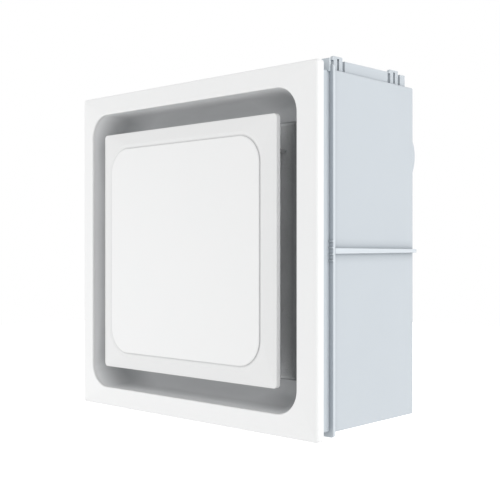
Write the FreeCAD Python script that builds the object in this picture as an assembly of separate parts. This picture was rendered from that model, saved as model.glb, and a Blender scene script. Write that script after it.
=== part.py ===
import FreeCAD, Part
import math
import os

# Flush-mounted radial duct fan: a wall box, a fan insert, a duct spigot and a pull-off cover.
# Millimetres. X to the right, Y into the wall, Z up.
# The origin is the centre of the box's back wall, on its outer face.

# Wall box
box_size = 252.0
box_depth = 100.0
box_draft = 0.6
box_wall = 2.5
box_corner_r = 1.5
flange_w = 2.75
flange_t = 2.2
flange_corner_r = 2.0
rib_proud = 2.9
rib_front_t = 4.0
rib_back_t = 2.7
mark_size = 1.0
mark_rise = 0.8
mark_pitch = 4.5
mark_count = 4
fixing_inset = 12.9
fixing_r = 2.75

# Cover frame
cover_lap = 5.0
cover_depth = 10.0
cover_corner_r = 2.5
cover_edge_r = 1.0
cover_face_t = 3.0
cover_rim_t = 2.5
cover_gap = 11.8
cover_border = 16.5
opening_corner_r = 18.5
opening_lip_r = 1.0
stud_r = 2.0
stud_length = 4.2
stud_offset = 60.0

# Intake dish behind the frame
dish_depth = 26.0
dish_wall = 2.0
dish_lean = 4.5
dish_sections = 5
dish_base_corner_r = 50.0
dish_base_fillet = 8.0
dish_flange_w = 8.5
washer_w = 1.1
washer_t = 0.6

# Front panel that floats in the opening
slot_w = 17.5
panel_corner_r = 3.0
panel_edge_t = 4.0
panel_rim_t = 2.0
panel_hollow_set = 0.8
panel_t = 2.2
panel_proud = 0.1
panel_border_rise = 3.0
pad_border = 13.2
pad_corner_r = 15.5
pad_rise = 1.0
pad_edge_r = 0.7
pad_groove_w = 0.8
pad_groove_t = 0.6
leg_w = 8.0
leg_t = 1.6
leg_side_inset = 16.0
leg_end_inset = 24.0
leg_socket_t = 1.6

# Filter cassette on the back of the dish
dish_ledge_w = 16.0
filter_corner_r = 4.0
filter_lap = 4.0
filter_t = 5.0
filter_clear = 0.3
grid_t = 2.0
grid_bar_w = 2.4
grid_columns = 4
grid_rows = 3
tray_wall = 2.0
tray_lip_t = 1.5

# Leaf springs that hold the cover in the collar
clip_width = 12.0
clip_t = 0.8
clip_z = 35.0
clip_clear = 0.3
clip_reach = 28.0
clip_bend = 15.4
clip_crest = 21.0
clip_bow = 5.0
clip_foot = 4.0

# Coupling rails on top of the box
rail_inset = 2.4
rail_t = 2.5
rail_h = 7.8
rail_front = 17.3
rail_back = 69.5
rail_end_front = 85.5
rail_end_back = 92.0
clip_a_front = 4.7
clip_b_front = 72.9
rail_clip_l = 10.0
rail_clip_h = 10.0
rail_clip_cap = 1.6
rail_clip_slit = 2.2
rail_barb = 2.3
rail_barb_h = 3.0

# Plaster collar between the box and the cover
collar_set = 1.0
collar_wall = 2.5
collar_lap = 2.0
collar_lug_w = 6.5
collar_lug_out = 1.5
collar_lug_h = 8.0
collar_lug_t = 2.0
tongue_w = 20.0
tongue_t = 1.8
tongue_l = 6.0
tongue_clear = 0.3
tongue_x = 60.0

# Duct spigot and its flap
duct_r = 39.5
spigot_wall = 2.0
spigot_reach = 40.0
spigot_chamfer = 0.65
spigot_side_inset = 60.9
spigot_top_inset = 45.9
spigot_pilot = 0.45
spigot_hole_clear = 0.3
spigot_flange_w = 5.6
spigot_flange_t = 2.5
gasket_t = 3.0
gasket_w = 6.5
flap_t = 1.6
flap_clear = 0.9
flap_rise = 5.0
flap_setback = 8.0
flap_boss_r = 2.6
flap_shaft_r = 1.5
flap_shaft_clear = 0.05
shaft_boss_r = 4.0
shaft_boss_l = 3.0
spigot_screw_r = 1.4
spigot_screw_head_r = 2.7
spigot_screw_bite = 1.4
spigot_screw_count = 4

# Fan insert: scroll case and inlet plate
rotor_x = -12.0
rotor_z = -14.0
plenum = 8.5
plate_t = 2.5
plate_clear = 1.4
plate_corner_r = 6.0
scroll_depth = 48.5
scroll_back_t = 2.5
scroll_wall = 2.0
scroll_clear = 4.0
outlet_margin = 2.5
tongue_angle = 66.0
scroll_spans = 12
inlet_gap = 6.0
inlet_mouth_r = 14.0
inlet_wall = 2.0
boss_r = 4.0
boss_l = 20.0
boss_set = 3.0
boss_count = 5
boss_first_angle = 100.0
boss_angle_step = 50.0
boss_screw_r = 1.45
boss_screw_head_r = 3.0
boss_screw_l = 10.0
post_r = 6.0
post_inset = 34.9
post_sink = 0.5
post_screw_r = 2.0
post_screw_head_r = 4.0
post_screw_l = 12.0
screw_head_t = 2.0
screw_clear = 0.05
screw_tip_clear = 0.5
hole_clear = 0.4

# Impeller
impeller_room = 52.9
blade_depth = 13.0
blade_count = 36
blade_t = 1.2
blade_sweep_angle = 7.0
blade_mid_angle = 1.2
ring_w = 11.0
ring_t = 2.0
disc_t = 2.0
impeller_front_gap = 5.5
impeller_back_gap = 2.5
hub_r = 36.0
hub_wall = 2.0
hub_set = 5.0
hub_boss_r = 8.0
hub_boss_l = 7.0
clip_ring_r = 6.5
clip_ring_t = 1.4

# Motor
shaft_r = 4.0
shaft_clear = 0.05
shaft_end_float = 0.4
motor_r = 31.0
motor_wall = 1.5
motor_front_gap = 2.5
cap_setback = 5.5
cap_t = 12.0
bearing_r = 8.0
bearing_l = 6.0
bearing_seat_t = 2.0
core_l_clear = 5.5
core_clear = 0.1
yoke_t = 6.0
tooth_w = 8.0
tooth_count = 6
coil_t = 3.0
coil_clear = 0.2
coil_end_set = 1.2
air_gap = 0.5
rotor_core_r = 16.8

# Motor bracket on rubber mounts
bracket_t = 2.0
bracket_ring_r = 26.0
bracket_hole_r = 13.0
bracket_arm_w = 14.0
mount_reach = 52.0
mount_count = 3
mount_r = 7.0
mount_neck_r = 4.4
mount_flange_t = 3.0
mount_pad_r = 8.0
mount_screw_r = 2.0
mount_screw_head_r = 5.0
mount_screw_short = 1.0
motor_screw_reach = 20.0
motor_screw_r = 1.5
motor_screw_head_r = 2.8
motor_screw_l = 4.8
motor_boss_r = 3.0
motor_screw_count = 3
motor_screw_angle = 30.0

# Controls and wiring space
case_angle = 233.0
case_w = 40.0
case_h = 28.0
case_d = 12.0
case_wall = 1.5
board_clear = 0.4
board_t = 1.6
lid_t = 1.5
relay_w = 12.5
relay_h = 9.5
relay_d = 7.0
relay_x = -8.0
relay_z = -3.8
strip_w = 29.0
strip_h = 6.0
strip_d = 6.0
strip_z = 8.0
capacitor_r = 4.8
capacitor_d = 8.0
capacitor_x = 8.0
capacitor_z = -4.0
terminal_side_inset = 44.9
terminal_top_inset = 28.9
terminal_w = 44.0
terminal_h = 20.0
terminal_d = 18.0
terminal_ways = 4
terminal_hole_r = 3.0
terminal_screw_r = 2.6
terminal_screw_l = 4.0
terminal_screw_set = 0.5
terminal_slot_w = 0.8
terminal_slot_d = 0.8
terminal_cover_wall = 1.2
terminal_cover_gap = 0.4
terminal_headroom = 4.0
grommet_y = -22.0
grommet_z = 50.0
grommet_r = 10.0
grommet_lip = 2.5
grommet_lip_t = 1.8
grommet_membrane_t = 1.2
grommet_wall = 2.0
grommet_clear = 0.1

# Planes along Y, from the wall forwards
back_y = -box_wall
box_front_y = -box_depth
flange_front_y = box_front_y - flange_t
cover_back_y = flange_front_y - cover_gap
cover_front_y = cover_back_y - cover_depth
frame_back_y = cover_front_y + cover_face_t
ledge_y = cover_front_y + dish_depth
dish_back_y = ledge_y + dish_wall
mat_back_y = dish_back_y + filter_t
grid_back_y = mat_back_y + grid_t
tray_back_y = grid_back_y + tray_lip_t
plate_front_y = tray_back_y + plenum
plate_back_y = plate_front_y + plate_t
scroll_back_y = plate_back_y + scroll_depth
scroll_floor_y = scroll_back_y - scroll_back_t
impeller_front_y = plate_back_y + impeller_front_gap
impeller_back_y = scroll_floor_y - impeller_back_gap
disc_front_y = impeller_back_y - disc_t
hub_front_y = impeller_front_y + hub_set
can_front_y = hub_front_y + hub_wall + motor_front_gap
cap_front_y = scroll_floor_y - cap_setback
cap_back_y = cap_front_y + cap_t
bracket_back_y = cap_back_y + bracket_t
spigot_front_y = scroll_back_y + gasket_t
flap_y = back_y - flap_setback
panel_edge_y = cover_front_y - panel_proud
panel_crown_y = panel_edge_y - panel_border_rise
pad_front_y = panel_crown_y - pad_rise

# Widths that several pieces share
box_back_size = box_size - 2 * box_draft
box_inner = box_back_size - 2 * box_wall
flange_size = box_size + 2 * flange_w
collar_size = box_size - 2 * collar_set
collar_inner = collar_size - 2 * collar_wall
cover_size = collar_size + 2 * cover_lap
opening_size = cover_size - 2 * cover_border
panel_size = opening_size - 2 * slot_w
pad_size = panel_size - 2 * pad_border
filter_opening = opening_size - 2 * (dish_lean + dish_ledge_w)
filter_size = filter_opening + 2 * filter_lap
dish_flange_size = opening_size + 2 * dish_flange_w
stud_reach = opening_size / 2 + dish_wall + (dish_flange_w - dish_wall) / 2
duct_bore_r = duct_r - spigot_wall
spigot_flange_r = duct_r + spigot_flange_w
impeller_r = box_inner / 2 - impeller_room
blade_inner_r = impeller_r - blade_depth
ring_inner_r = impeller_r - ring_w
inlet_r = blade_inner_r - inlet_gap

# Places that several pieces share
leg_x = panel_size / 2 - leg_side_inset
leg_z = panel_size / 2 - leg_end_inset
post_x = box_inner / 2 - post_r + post_sink
post_z = box_inner / 2 - post_inset
fixing_reach = box_inner / 2 - fixing_inset
rotor_hub = (rotor_x, rotor_z)
spigot_x = box_inner / 2 - spigot_side_inset
spigot_z = box_inner / 2 - spigot_top_inset
spigot_hub = (spigot_x, spigot_z)
outlet_r = duct_bore_r + outlet_margin
outlet_right = spigot_x + outlet_r
outlet_left = spigot_x - outlet_r
scroll_start_r = impeller_r + scroll_clear
scroll_end_r = outlet_right - rotor_x
case_x = rotor_x + impeller_r * math.cos(math.radians(case_angle))
case_z = rotor_z + impeller_r * math.sin(math.radians(case_angle))
terminal_x = terminal_side_inset - box_inner / 2
terminal_z = box_inner / 2 - terminal_top_inset
Y_AXIS = FreeCAD.Vector(0, 1, 0)


def polar(hub, radius, degrees, y):
    """Point at a radius and angle round a hub in the plane Y = y."""
    turn = math.radians(degrees)
    return FreeCAD.Vector(hub[0] + radius * math.cos(turn), y, hub[1] + radius * math.sin(turn))


def ring_places(hub, radius, first_turn, pitch, count):
    """Evenly turned (x, z) places round a hub."""
    points = [polar(hub, radius, first_turn + pitch * step, 0) for step in range(count)]
    return [(point.x, point.z) for point in points]


def corners(reach_x, reach_z):
    """The four places (+-x, +-z)."""
    return [(side_x * reach_x, side_z * reach_z) for side_x in (-1, 1) for side_z in (-1, 1)]


def rounded_wire(size_x, size_z, corner_r, y, hub=(0.0, 0.0)):
    """Closed rounded rectangle in the plane Y = y."""
    arcs = []
    for quarter, (side_x, side_z) in enumerate([(1, 1), (-1, 1), (-1, -1), (1, -1)]):
        centre = (
            hub[0] + side_x * (size_x / 2 - corner_r),
            hub[1] + side_z * (size_z / 2 - corner_r),
        )
        arcs.append([polar(centre, corner_r, quarter * 90 + turn, y) for turn in (0, 45, 90)])
    edges = []
    for quarter, points in enumerate(arcs):
        edges.append(Part.Arc(*points).toShape())
        edges.append(Part.makeLine(points[2], arcs[(quarter + 1) % 4][0]))
    return Part.Wire(edges)


def slab(size_x, size_z, corner_r, y0, y1, hub=(0.0, 0.0)):
    """Rounded rectangle that runs from Y = y0 to Y = y1."""
    face = Part.Face(rounded_wire(size_x, size_z, corner_r, y0, hub))
    return face.extrude(FreeCAD.Vector(0, y1 - y0, 0))


def block(x0, x1, y0, y1, z0, z1):
    """Plain box between two corners."""
    return Part.makeBox(x1 - x0, y1 - y0, z1 - z0, FreeCAD.Vector(x0, y0, z0))


def centred_block(x, z, size_x, size_z, y0, y1):
    """Plain box centred on (x, z)."""
    return block(x - size_x / 2, x + size_x / 2, y0, y1, z - size_z / 2, z + size_z / 2)


def rod(hub, radius, y0, y1):
    """Round bar along Y."""
    return Part.makeCylinder(radius, y1 - y0, FreeCAD.Vector(hub[0], y0, hub[1]), Y_AXIS)


def ring(hub, outer_r, inner_r, y0, y1):
    """Round bar along Y with a through bore."""
    return rod(hub, outer_r, y0, y1).cut(rod(hub, inner_r, y0, y1))


def cross_rod(radius, x0, x1, y, z):
    """Round bar along X."""
    return Part.makeCylinder(radius, x1 - x0, FreeCAD.Vector(x0, y, z), FreeCAD.Vector(1, 0, 0))


def turned(profile, hub):
    """Solid of revolution about Y from (radius, y) points."""
    points = [FreeCAD.Vector(hub[0] + radius, y, hub[1]) for radius, y in profile]
    face = Part.Face(Part.makePolygon(points + points[:1]))
    return face.revolve(FreeCAD.Vector(hub[0], 0, hub[1]), Y_AXIS, 360)


def edges_at(shape, y, reach=None):
    """Edges that lie in the plane Y = y, optionally only those within a half width."""
    found = []
    for edge in shape.Edges:
        flat = all(abs(vertex.Y - y) < 1e-6 for vertex in edge.Vertexes)
        inside = reach is None or all(
            max(abs(vertex.X), abs(vertex.Z)) < reach for vertex in edge.Vertexes
        )
        if flat and inside:
            found.append(edge)
    return found


def screw(hub, radius, head_r, seat_y, length, head_side):
    """Pan-head screw along Y: head_side is -1 for a head in front of its seat, 1 behind it."""
    head = rod(hub, head_r, *sorted((seat_y, seat_y + head_side * screw_head_t)))
    shank = rod(hub, radius, *sorted((seat_y, seat_y - head_side * length)))
    return head.fuse(shank)


# Cover assembly


def stud_places():
    """Heat-stake studs along the four sides of the frame."""
    return corners(stud_reach, stud_offset) + corners(stud_offset, stud_reach)


def cover_frame():
    shell = slab(cover_size, cover_size, cover_corner_r, cover_front_y, cover_back_y)
    shell = shell.makeFillet(cover_edge_r, edges_at(shell, cover_front_y))
    inner = cover_size - 2 * cover_rim_t
    hollow = slab(inner, inner, cover_corner_r - cover_rim_t / 2, frame_back_y, cover_back_y)
    opening = slab(opening_size, opening_size, opening_corner_r, cover_front_y, frame_back_y)
    frame = shell.cut(hollow).cut(opening)
    lip = edges_at(frame, cover_front_y, opening_size / 2 + opening_lip_r)
    frame = frame.makeFillet(opening_lip_r, lip)
    studs = [rod(place, stud_r, frame_back_y, frame_back_y + stud_length) for place in stud_places()]
    return frame.multiFuse(studs)


def dish_form(grow, back_y):
    """Smooth funnel from the opening to the rounder base, grown outwards by a wall."""
    sections = []
    for step in range(dish_sections):
        share = step / (dish_sections - 1)
        size = opening_size - 2 * dish_lean * share**2 + 2 * grow
        corner = opening_corner_r + (dish_base_corner_r - opening_corner_r) * share + grow
        y = frame_back_y + (back_y - frame_back_y) * share
        sections.append(rounded_wire(size, size, corner, y))
    form = Part.makeLoft(sections, True, False)
    return form.makeFillet(dish_base_fillet + grow, edges_at(form, back_y))


def intake_dish():
    flange = slab(
        dish_flange_size, dish_flange_size, opening_corner_r, frame_back_y, frame_back_y + dish_wall
    )
    window = slab(filter_opening, filter_opening, filter_corner_r, ledge_y, dish_back_y)
    dish = dish_form(dish_wall, dish_back_y).fuse(flange).cut(dish_form(0, ledge_y)).cut(window)
    holes = [
        rod(place, stud_r + hole_clear, frame_back_y, frame_back_y + dish_wall)
        for place in stud_places()
    ]
    return dish.cut(holes)


def dish_washers():
    seat_y = frame_back_y + dish_wall
    washers = [
        ring(place, stud_r + washer_w, stud_r + screw_clear, seat_y, seat_y + washer_t)
        for place in stud_places()
    ]
    return Part.makeCompound(washers)


def leg_places():
    """The panel's legs, the lower pair one grid column nearer the middle than the upper pair."""
    low_x = leg_x * (1 - 1 / grid_columns)
    return [(side * x, z) for side in (-1, 1) for x, z in ((leg_x, leg_z), (low_x, -leg_z))]


def front_panel():
    edge_back_y = panel_edge_y + panel_edge_t
    tray = slab(panel_size, panel_size, panel_corner_r, panel_edge_y, edge_back_y)
    crown_size = pad_size + 2 * pad_groove_w
    crown_r = pad_corner_r + pad_groove_w
    border = Part.makeLoft(
        [
            rounded_wire(panel_size, panel_size, panel_corner_r, panel_edge_y),
            rounded_wire(crown_size, crown_size, crown_r, panel_crown_y),
        ],
        True,
        True,
    )
    groove_y = panel_crown_y + pad_groove_t
    groove = slab(crown_size, crown_size, crown_r, panel_crown_y, groove_y)
    pad = slab(pad_size, pad_size, pad_corner_r, pad_front_y, groove_y)
    pad = pad.makeFillet(pad_edge_r, edges_at(pad, pad_front_y))
    hollow_y = panel_edge_y + panel_hollow_set
    hollow_size = panel_size - 2 * panel_rim_t
    hollow = slab(hollow_size, hollow_size, panel_corner_r - panel_rim_t / 2, hollow_y, edge_back_y)
    pad_back_y = pad_front_y + panel_t
    pad_hollow_size = pad_size - 2 * panel_t
    pad_hollow = slab(pad_hollow_size, pad_hollow_size, pad_corner_r - panel_t, pad_back_y, hollow_y)
    panel = tray.fuse(border).cut(groove).fuse(pad).cut(hollow).cut(pad_hollow)
    legs = [centred_block(x, z, leg_w, leg_t, pad_back_y, grid_back_y) for x, z in leg_places()]
    return panel.multiFuse(legs)


def leg_slots(y0, y1):
    """Clearance cuts for the panel's legs."""
    return [
        centred_block(x, z, leg_w + 2 * filter_clear, leg_t + 2 * filter_clear, y0, y1)
        for x, z in leg_places()
    ]


def filter_mat():
    mat = slab(filter_size, filter_size, filter_corner_r, dish_back_y, mat_back_y)
    return mat.cut(leg_slots(dish_back_y, mat_back_y))


def filter_grid():
    """Lattice behind the mat, with sockets for the panel's legs where its bars cross."""
    grid = slab(filter_size, filter_size, filter_corner_r, mat_back_y, grid_back_y)
    grid = grid.cut(slab(filter_opening, filter_opening, filter_corner_r, mat_back_y, grid_back_y))
    bar_l = (filter_opening + filter_size) / 2
    bars = []
    for column in range(-grid_columns, grid_columns + 1):
        x = leg_x * column / grid_columns
        bars.append(centred_block(x, 0, grid_bar_w, bar_l, mat_back_y, grid_back_y))
    for row in range(-grid_rows, grid_rows + 1):
        z = leg_z * row / grid_rows
        bars.append(centred_block(0, z, bar_l, grid_bar_w, mat_back_y, grid_back_y))
    sockets = [
        centred_block(x, z, leg_w + 2 * leg_socket_t, leg_t + 2 * leg_socket_t, mat_back_y, grid_back_y)
        for x, z in leg_places()
    ]
    return grid.multiFuse(bars + sockets).cut(leg_slots(mat_back_y, grid_back_y))


def filter_tray():
    """Frame on the back of the dish whose lip holds the mat and the grid."""
    bay = filter_size + 2 * filter_clear
    outer = bay + 2 * tray_wall
    tray = slab(outer, outer, filter_corner_r + tray_wall, dish_back_y, tray_back_y)
    tray = tray.cut(slab(bay, bay, filter_corner_r, dish_back_y, grid_back_y))
    return tray.cut(slab(filter_opening, filter_opening, filter_corner_r, grid_back_y, tray_back_y))


def cover_clips():
    """Leaf springs with a foot on the dish flange and a bow that presses on the collar."""
    foot_y = frame_back_y + dish_wall
    bow_x = collar_inner / 2 - clip_clear
    leg_x0 = bow_x - clip_bow
    bend_y = foot_y + clip_bend
    bow_y = foot_y + clip_crest
    tip_y = foot_y + clip_reach
    outline = [
        (leg_x0 + clip_foot, foot_y),
        (leg_x0, foot_y),
        (leg_x0, bend_y),
        (bow_x - clip_t, bow_y),
        (leg_x0, tip_y),
        (leg_x0 + clip_t, tip_y),
        (bow_x, bow_y),
        (leg_x0 + clip_t, bend_y),
        (leg_x0 + clip_t, foot_y + clip_t),
        (leg_x0 + clip_foot, foot_y + clip_t),
    ]
    clips = []
    for side_x, side_z in corners(1, 1):
        low_z = side_z * clip_z - clip_width / 2
        points = [FreeCAD.Vector(side_x * x, y, low_z) for x, y in outline]
        face = Part.Face(Part.makePolygon(points + points[:1]))
        clips.append(face.extrude(FreeCAD.Vector(0, 0, clip_width)))
    return Part.makeCompound(clips)


# Wall box and collar


def side_rib(side):
    """Tapered rib at mid height on a side wall."""
    x0 = side * (box_back_size / 2 - box_wall / 2)
    x1 = side * (box_size / 2 + rib_proud)
    points = [
        FreeCAD.Vector(x0, box_front_y, -rib_front_t / 2),
        FreeCAD.Vector(x0, 0, -rib_back_t / 2),
        FreeCAD.Vector(x0, 0, rib_back_t / 2),
        FreeCAD.Vector(x0, box_front_y, rib_front_t / 2),
    ]
    face = Part.Face(Part.makePolygon(points + points[:1]))
    return face.extrude(FreeCAD.Vector(x1 - x0, 0, 0))


def rail_clip(x0, front):
    """Inverted U with a barb on its front edge."""
    foot_z = box_back_size / 2 - box_wall / 2
    top_z = box_size / 2 + rail_clip_h
    y0 = box_front_y + front
    y1 = y0 + rail_clip_l
    outline = [
        (y0, foot_z),
        (y1, foot_z),
        (y1, top_z),
        (y0, top_z),
        (y0 - rail_barb, top_z - rail_barb_h),
        (y0, top_z - rail_barb_h),
    ]
    points = [FreeCAD.Vector(x0, y, z) for y, z in outline]
    clip = Part.Face(Part.makePolygon(points + points[:1])).extrude(FreeCAD.Vector(rail_t, 0, 0))
    middle = (y0 + y1) / 2
    slit = block(
        x0,
        x0 + rail_t,
        middle - rail_clip_slit / 2,
        middle + rail_clip_slit / 2,
        box_size / 2,
        top_z - rail_clip_cap,
    )
    return clip.cut(slit)


def coupling_rail(side):
    """Bars and clips along one top edge, for joining boxes and brackets."""
    outer_x = box_size / 2 - rail_inset
    x0 = outer_x - rail_t if side > 0 else -outer_x
    foot_z = box_back_size / 2 - box_wall / 2
    top_z = box_size / 2 + rail_h
    spans = [(rail_front, rail_back), (rail_end_front, rail_end_back)]
    pieces = [
        block(x0, x0 + rail_t, box_front_y + front, box_front_y + back, foot_z, top_z)
        for front, back in spans
    ]
    return pieces + [rail_clip(x0, front) for front in (clip_a_front, clip_b_front)]


def post_places():
    return corners(post_x, post_z)


def wall_box():
    outer = Part.makeLoft(
        [
            rounded_wire(box_size, box_size, box_corner_r, box_front_y),
            rounded_wire(box_back_size, box_back_size, box_corner_r, 0),
        ],
        True,
        True,
    )
    flange = slab(flange_size, flange_size, flange_corner_r, flange_front_y, box_front_y)
    ribs = [side_rib(side) for side in (-1, 1)]
    rails = coupling_rail(-1) + coupling_rail(1)
    box = outer.multiFuse([flange] + ribs + rails)
    box = box.cut(slab(box_inner, box_inner, box_corner_r, flange_front_y, back_y))
    posts = []
    for x, z in post_places():
        side = 1 if x > 0 else -1
        x0, x1 = sorted((x, side * (box_inner + box_wall) / 2))
        web = block(x0, x1, plate_back_y, back_y, z - post_r / 2, z + post_r / 2)
        posts += [rod((x, z), post_r, plate_back_y, back_y), web]
    marks = []
    for side in (-1, 1):
        x0, x1 = sorted((side * flange_size / 2, side * collar_size / 2))
        for step in range(mark_count):
            z = (step - (mark_count - 1) / 2) * mark_pitch - mark_size / 2
            marks.append(block(x0, x1, flange_front_y - mark_rise, flange_front_y, z, z + mark_size))
    box = box.multiFuse(posts + marks)
    holes = [
        rod(place, post_screw_r + screw_clear, plate_back_y, plate_front_y + post_screw_l + screw_tip_clear)
        for place in post_places()
    ]
    holes += [rod(place, fixing_r, back_y, 0) for place in corners(fixing_reach, fixing_reach)]
    holes += [
        rod(place, spigot_screw_r + screw_clear, back_y, back_y + spigot_screw_bite + screw_tip_clear)
        for place in spigot_screw_places()
    ]
    holes.append(rod(spigot_hub, duct_r + spigot_pilot + spigot_hole_clear, back_y, 0))
    holes.append(cross_rod(grommet_r, -box_size / 2, -box_inner / 2, grommet_y, grommet_z))
    return box.cut(holes)


def plaster_collar():
    front_y = cover_back_y - collar_lap
    collar = slab(collar_size, collar_size, box_corner_r, front_y, flange_front_y)
    collar = collar.cut(slab(collar_inner, collar_inner, box_corner_r, front_y, flange_front_y))
    outer = box_inner / 2 - tongue_clear
    inner = outer - tongue_t
    half_w = tongue_w / 2
    root_y = flange_front_y - tongue_l
    tip_y = flange_front_y + tongue_l
    root = (collar_inner + collar_wall) / 2
    tongues = []
    for side in (-1, 1):
        for reach, y0, y1 in ((root, root_y, flange_front_y), (outer, flange_front_y, tip_y)):
            low, high = sorted((side * inner, side * reach))
            tongues.append(block(low, high, y0, y1, -half_w, half_w))
            for x in (-tongue_x, tongue_x):
                tongues.append(block(x - half_w, x + half_w, y0, y1, low, high))
    lugs = []
    for side in (-1, 1):
        outer_x = collar_size / 2 + collar_lug_out
        low, high = sorted((side * outer_x, side * (outer_x - collar_lug_w)))
        top_z = collar_size / 2 + collar_lug_h
        foot_z = (collar_size - collar_wall) / 2
        lugs.append(block(low, high, flange_front_y - collar_lug_t, flange_front_y, foot_z, top_z))
    return collar.multiFuse(tongues + lugs)


# Duct spigot and backdraft flap


def spigot_screw_places():
    reach = duct_r + spigot_flange_w / 2
    pitch = 360 / spigot_screw_count
    return ring_places(spigot_hub, reach, pitch / 2, pitch, spigot_screw_count)


def flap_axis_z():
    return spigot_z + flap_rise


def duct_spigot():
    tube = rod(spigot_hub, duct_r, spigot_front_y, spigot_reach)
    front_flange = rod(spigot_hub, duct_bore_r + gasket_w, spigot_front_y, spigot_front_y + spigot_flange_t)
    back_flange = rod(spigot_hub, spigot_flange_r, back_y - spigot_flange_t, back_y)
    reach = duct_r + shaft_boss_l
    bosses = cross_rod(shaft_boss_r, spigot_x - reach, spigot_x + reach, flap_y, flap_axis_z())
    pilot = rod(spigot_hub, duct_r + spigot_pilot, back_y, 0)
    spigot = tube.fuse([front_flange, back_flange, pilot, bosses])
    pivot_r = flap_shaft_r + flap_shaft_clear
    holes = [rod(spigot_hub, duct_bore_r, spigot_front_y, spigot_reach)]
    holes.append(cross_rod(pivot_r, spigot_x - reach, spigot_x + reach, flap_y, flap_axis_z()))
    holes += [
        rod(place, spigot_screw_r + hole_clear, back_y - spigot_flange_t, back_y)
        for place in spigot_screw_places()
    ]
    spigot = spigot.cut(holes)
    return spigot.makeChamfer(spigot_chamfer, edges_at(spigot, spigot_reach))


def spigot_gasket():
    return ring(spigot_hub, duct_bore_r + gasket_w, duct_bore_r, scroll_back_y, spigot_front_y)


def spigot_screws():
    seat_y = back_y - spigot_flange_t
    length = spigot_flange_t + spigot_screw_bite
    return Part.makeCompound(
        [
            screw(place, spigot_screw_r, spigot_screw_head_r, seat_y, length, -1)
            for place in spigot_screw_places()
        ]
    )


def backdraft_flap():
    flap_r = duct_bore_r - flap_clear
    disc = rod(spigot_hub, flap_r, flap_y - flap_t / 2, flap_y + flap_t / 2)
    half = math.sqrt(flap_r**2 - (flap_rise + flap_boss_r) ** 2) - flap_clear
    axle = cross_rod(flap_boss_r, spigot_x - half, spigot_x + half, flap_y, flap_axis_z())
    bore = cross_rod(
        flap_shaft_r + flap_shaft_clear, spigot_x - duct_r, spigot_x + duct_r, flap_y, flap_axis_z()
    )
    return disc.fuse(axle).cut(bore)


def flap_shaft():
    reach = duct_r + shaft_boss_l
    return cross_rod(flap_shaft_r, spigot_x - reach, spigot_x + reach, flap_y, flap_axis_z())


# Fan insert


def scroll_radius(degrees):
    """Logarithmic volute from the tongue round to the outlet."""
    share = (degrees - tongue_angle) / (360 - tongue_angle)
    return scroll_start_r * (scroll_end_r / scroll_start_r) ** share


def scroll_form(grow, y0, y1):
    """Air space of the volute and its outlet, grown outwards by a wall."""
    pitch = (360 - tongue_angle) / scroll_spans
    turns = [tongue_angle + pitch * step for step in range(scroll_spans + 1)]
    points = [polar(rotor_hub, scroll_radius(turn) + grow, turn, y0) for turn in turns]
    spiral = Part.BSplineCurve()
    spiral.interpolate(points)
    centre = FreeCAD.Vector(rotor_x, y0, rotor_z)
    edges = [
        spiral.toShape(),
        Part.makeLine(points[-1], centre),
        Part.makeLine(centre, points[0]),
    ]
    volute = Part.Face(Part.Wire(edges)).extrude(FreeCAD.Vector(0, y1 - y0, 0))
    eye = rod(rotor_hub, scroll_start_r + grow, y0, y1)
    duct = block(outlet_left - grow, outlet_right + grow, y0, y1, rotor_z, spigot_z)
    bend = rod(spigot_hub, outlet_r + grow, y0, y1)
    return volute.fuse([eye, duct, bend])


def boss_places():
    """Screw bosses round the volute and on both sides of the outlet."""
    offset = scroll_wall + boss_set
    places = []
    for step in range(boss_count):
        turn = boss_first_angle + boss_angle_step * step
        place = polar(rotor_hub, scroll_radius(turn) + offset, turn, 0)
        places.append((place.x, place.z))
    places.append((outlet_right + offset, (rotor_z + spigot_z) / 2))
    places.append((outlet_left - offset, spigot_z))
    return places


def mount_places():
    return ring_places(rotor_hub, mount_reach, 90, 360 / mount_count, mount_count)


def scroll_case():
    shell = scroll_form(scroll_wall, plate_back_y, scroll_back_y)
    bosses = [rod(place, boss_r, plate_back_y, plate_back_y + boss_l) for place in boss_places()]
    pad_back_y = cap_back_y - mount_flange_t
    pads = [rod(place, mount_pad_r, scroll_back_y, pad_back_y) for place in mount_places()]
    case = shell.multiFuse(bosses + pads)
    holes = [scroll_form(0, plate_back_y, scroll_floor_y)]
    holes.append(rod(rotor_hub, hub_r, scroll_floor_y, scroll_back_y))
    holes.append(rod(spigot_hub, duct_bore_r, scroll_floor_y, scroll_back_y))
    holes += [
        rod(place, boss_screw_r + screw_clear, plate_back_y, plate_front_y + boss_screw_l + screw_tip_clear)
        for place in boss_places()
    ]
    pad_hole_r = mount_screw_r + screw_clear
    holes += [rod(place, pad_hole_r, scroll_floor_y, pad_back_y) for place in mount_places()]
    for hole in holes:
        case = case.cut(hole)
    return case


def bell_mouth():
    """Quarter-round inlet that leads the air into the impeller's eye."""
    throat_y = plate_front_y + inlet_mouth_r
    centre_r = inlet_r + inlet_mouth_r
    outer = inlet_mouth_r
    inner = inlet_mouth_r - inlet_wall

    def at(radius, y):
        return FreeCAD.Vector(rotor_x + radius, y, rotor_z)

    def quarter(reach):
        mid = reach * math.sqrt(0.5)
        return Part.Arc(
            at(centre_r, throat_y - reach),
            at(centre_r - mid, throat_y - mid),
            at(centre_r - reach, throat_y),
        ).toShape()

    edges = [
        quarter(outer),
        Part.makeLine(at(centre_r - outer, throat_y), at(centre_r - inner, throat_y)),
        quarter(inner),
        Part.makeLine(at(centre_r, throat_y - inner), at(centre_r, throat_y - outer)),
    ]
    face = Part.Face(Part.Wire(Part.__sortEdges__(edges)))
    return face.revolve(FreeCAD.Vector(rotor_x, 0, rotor_z), Y_AXIS, 360)


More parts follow.
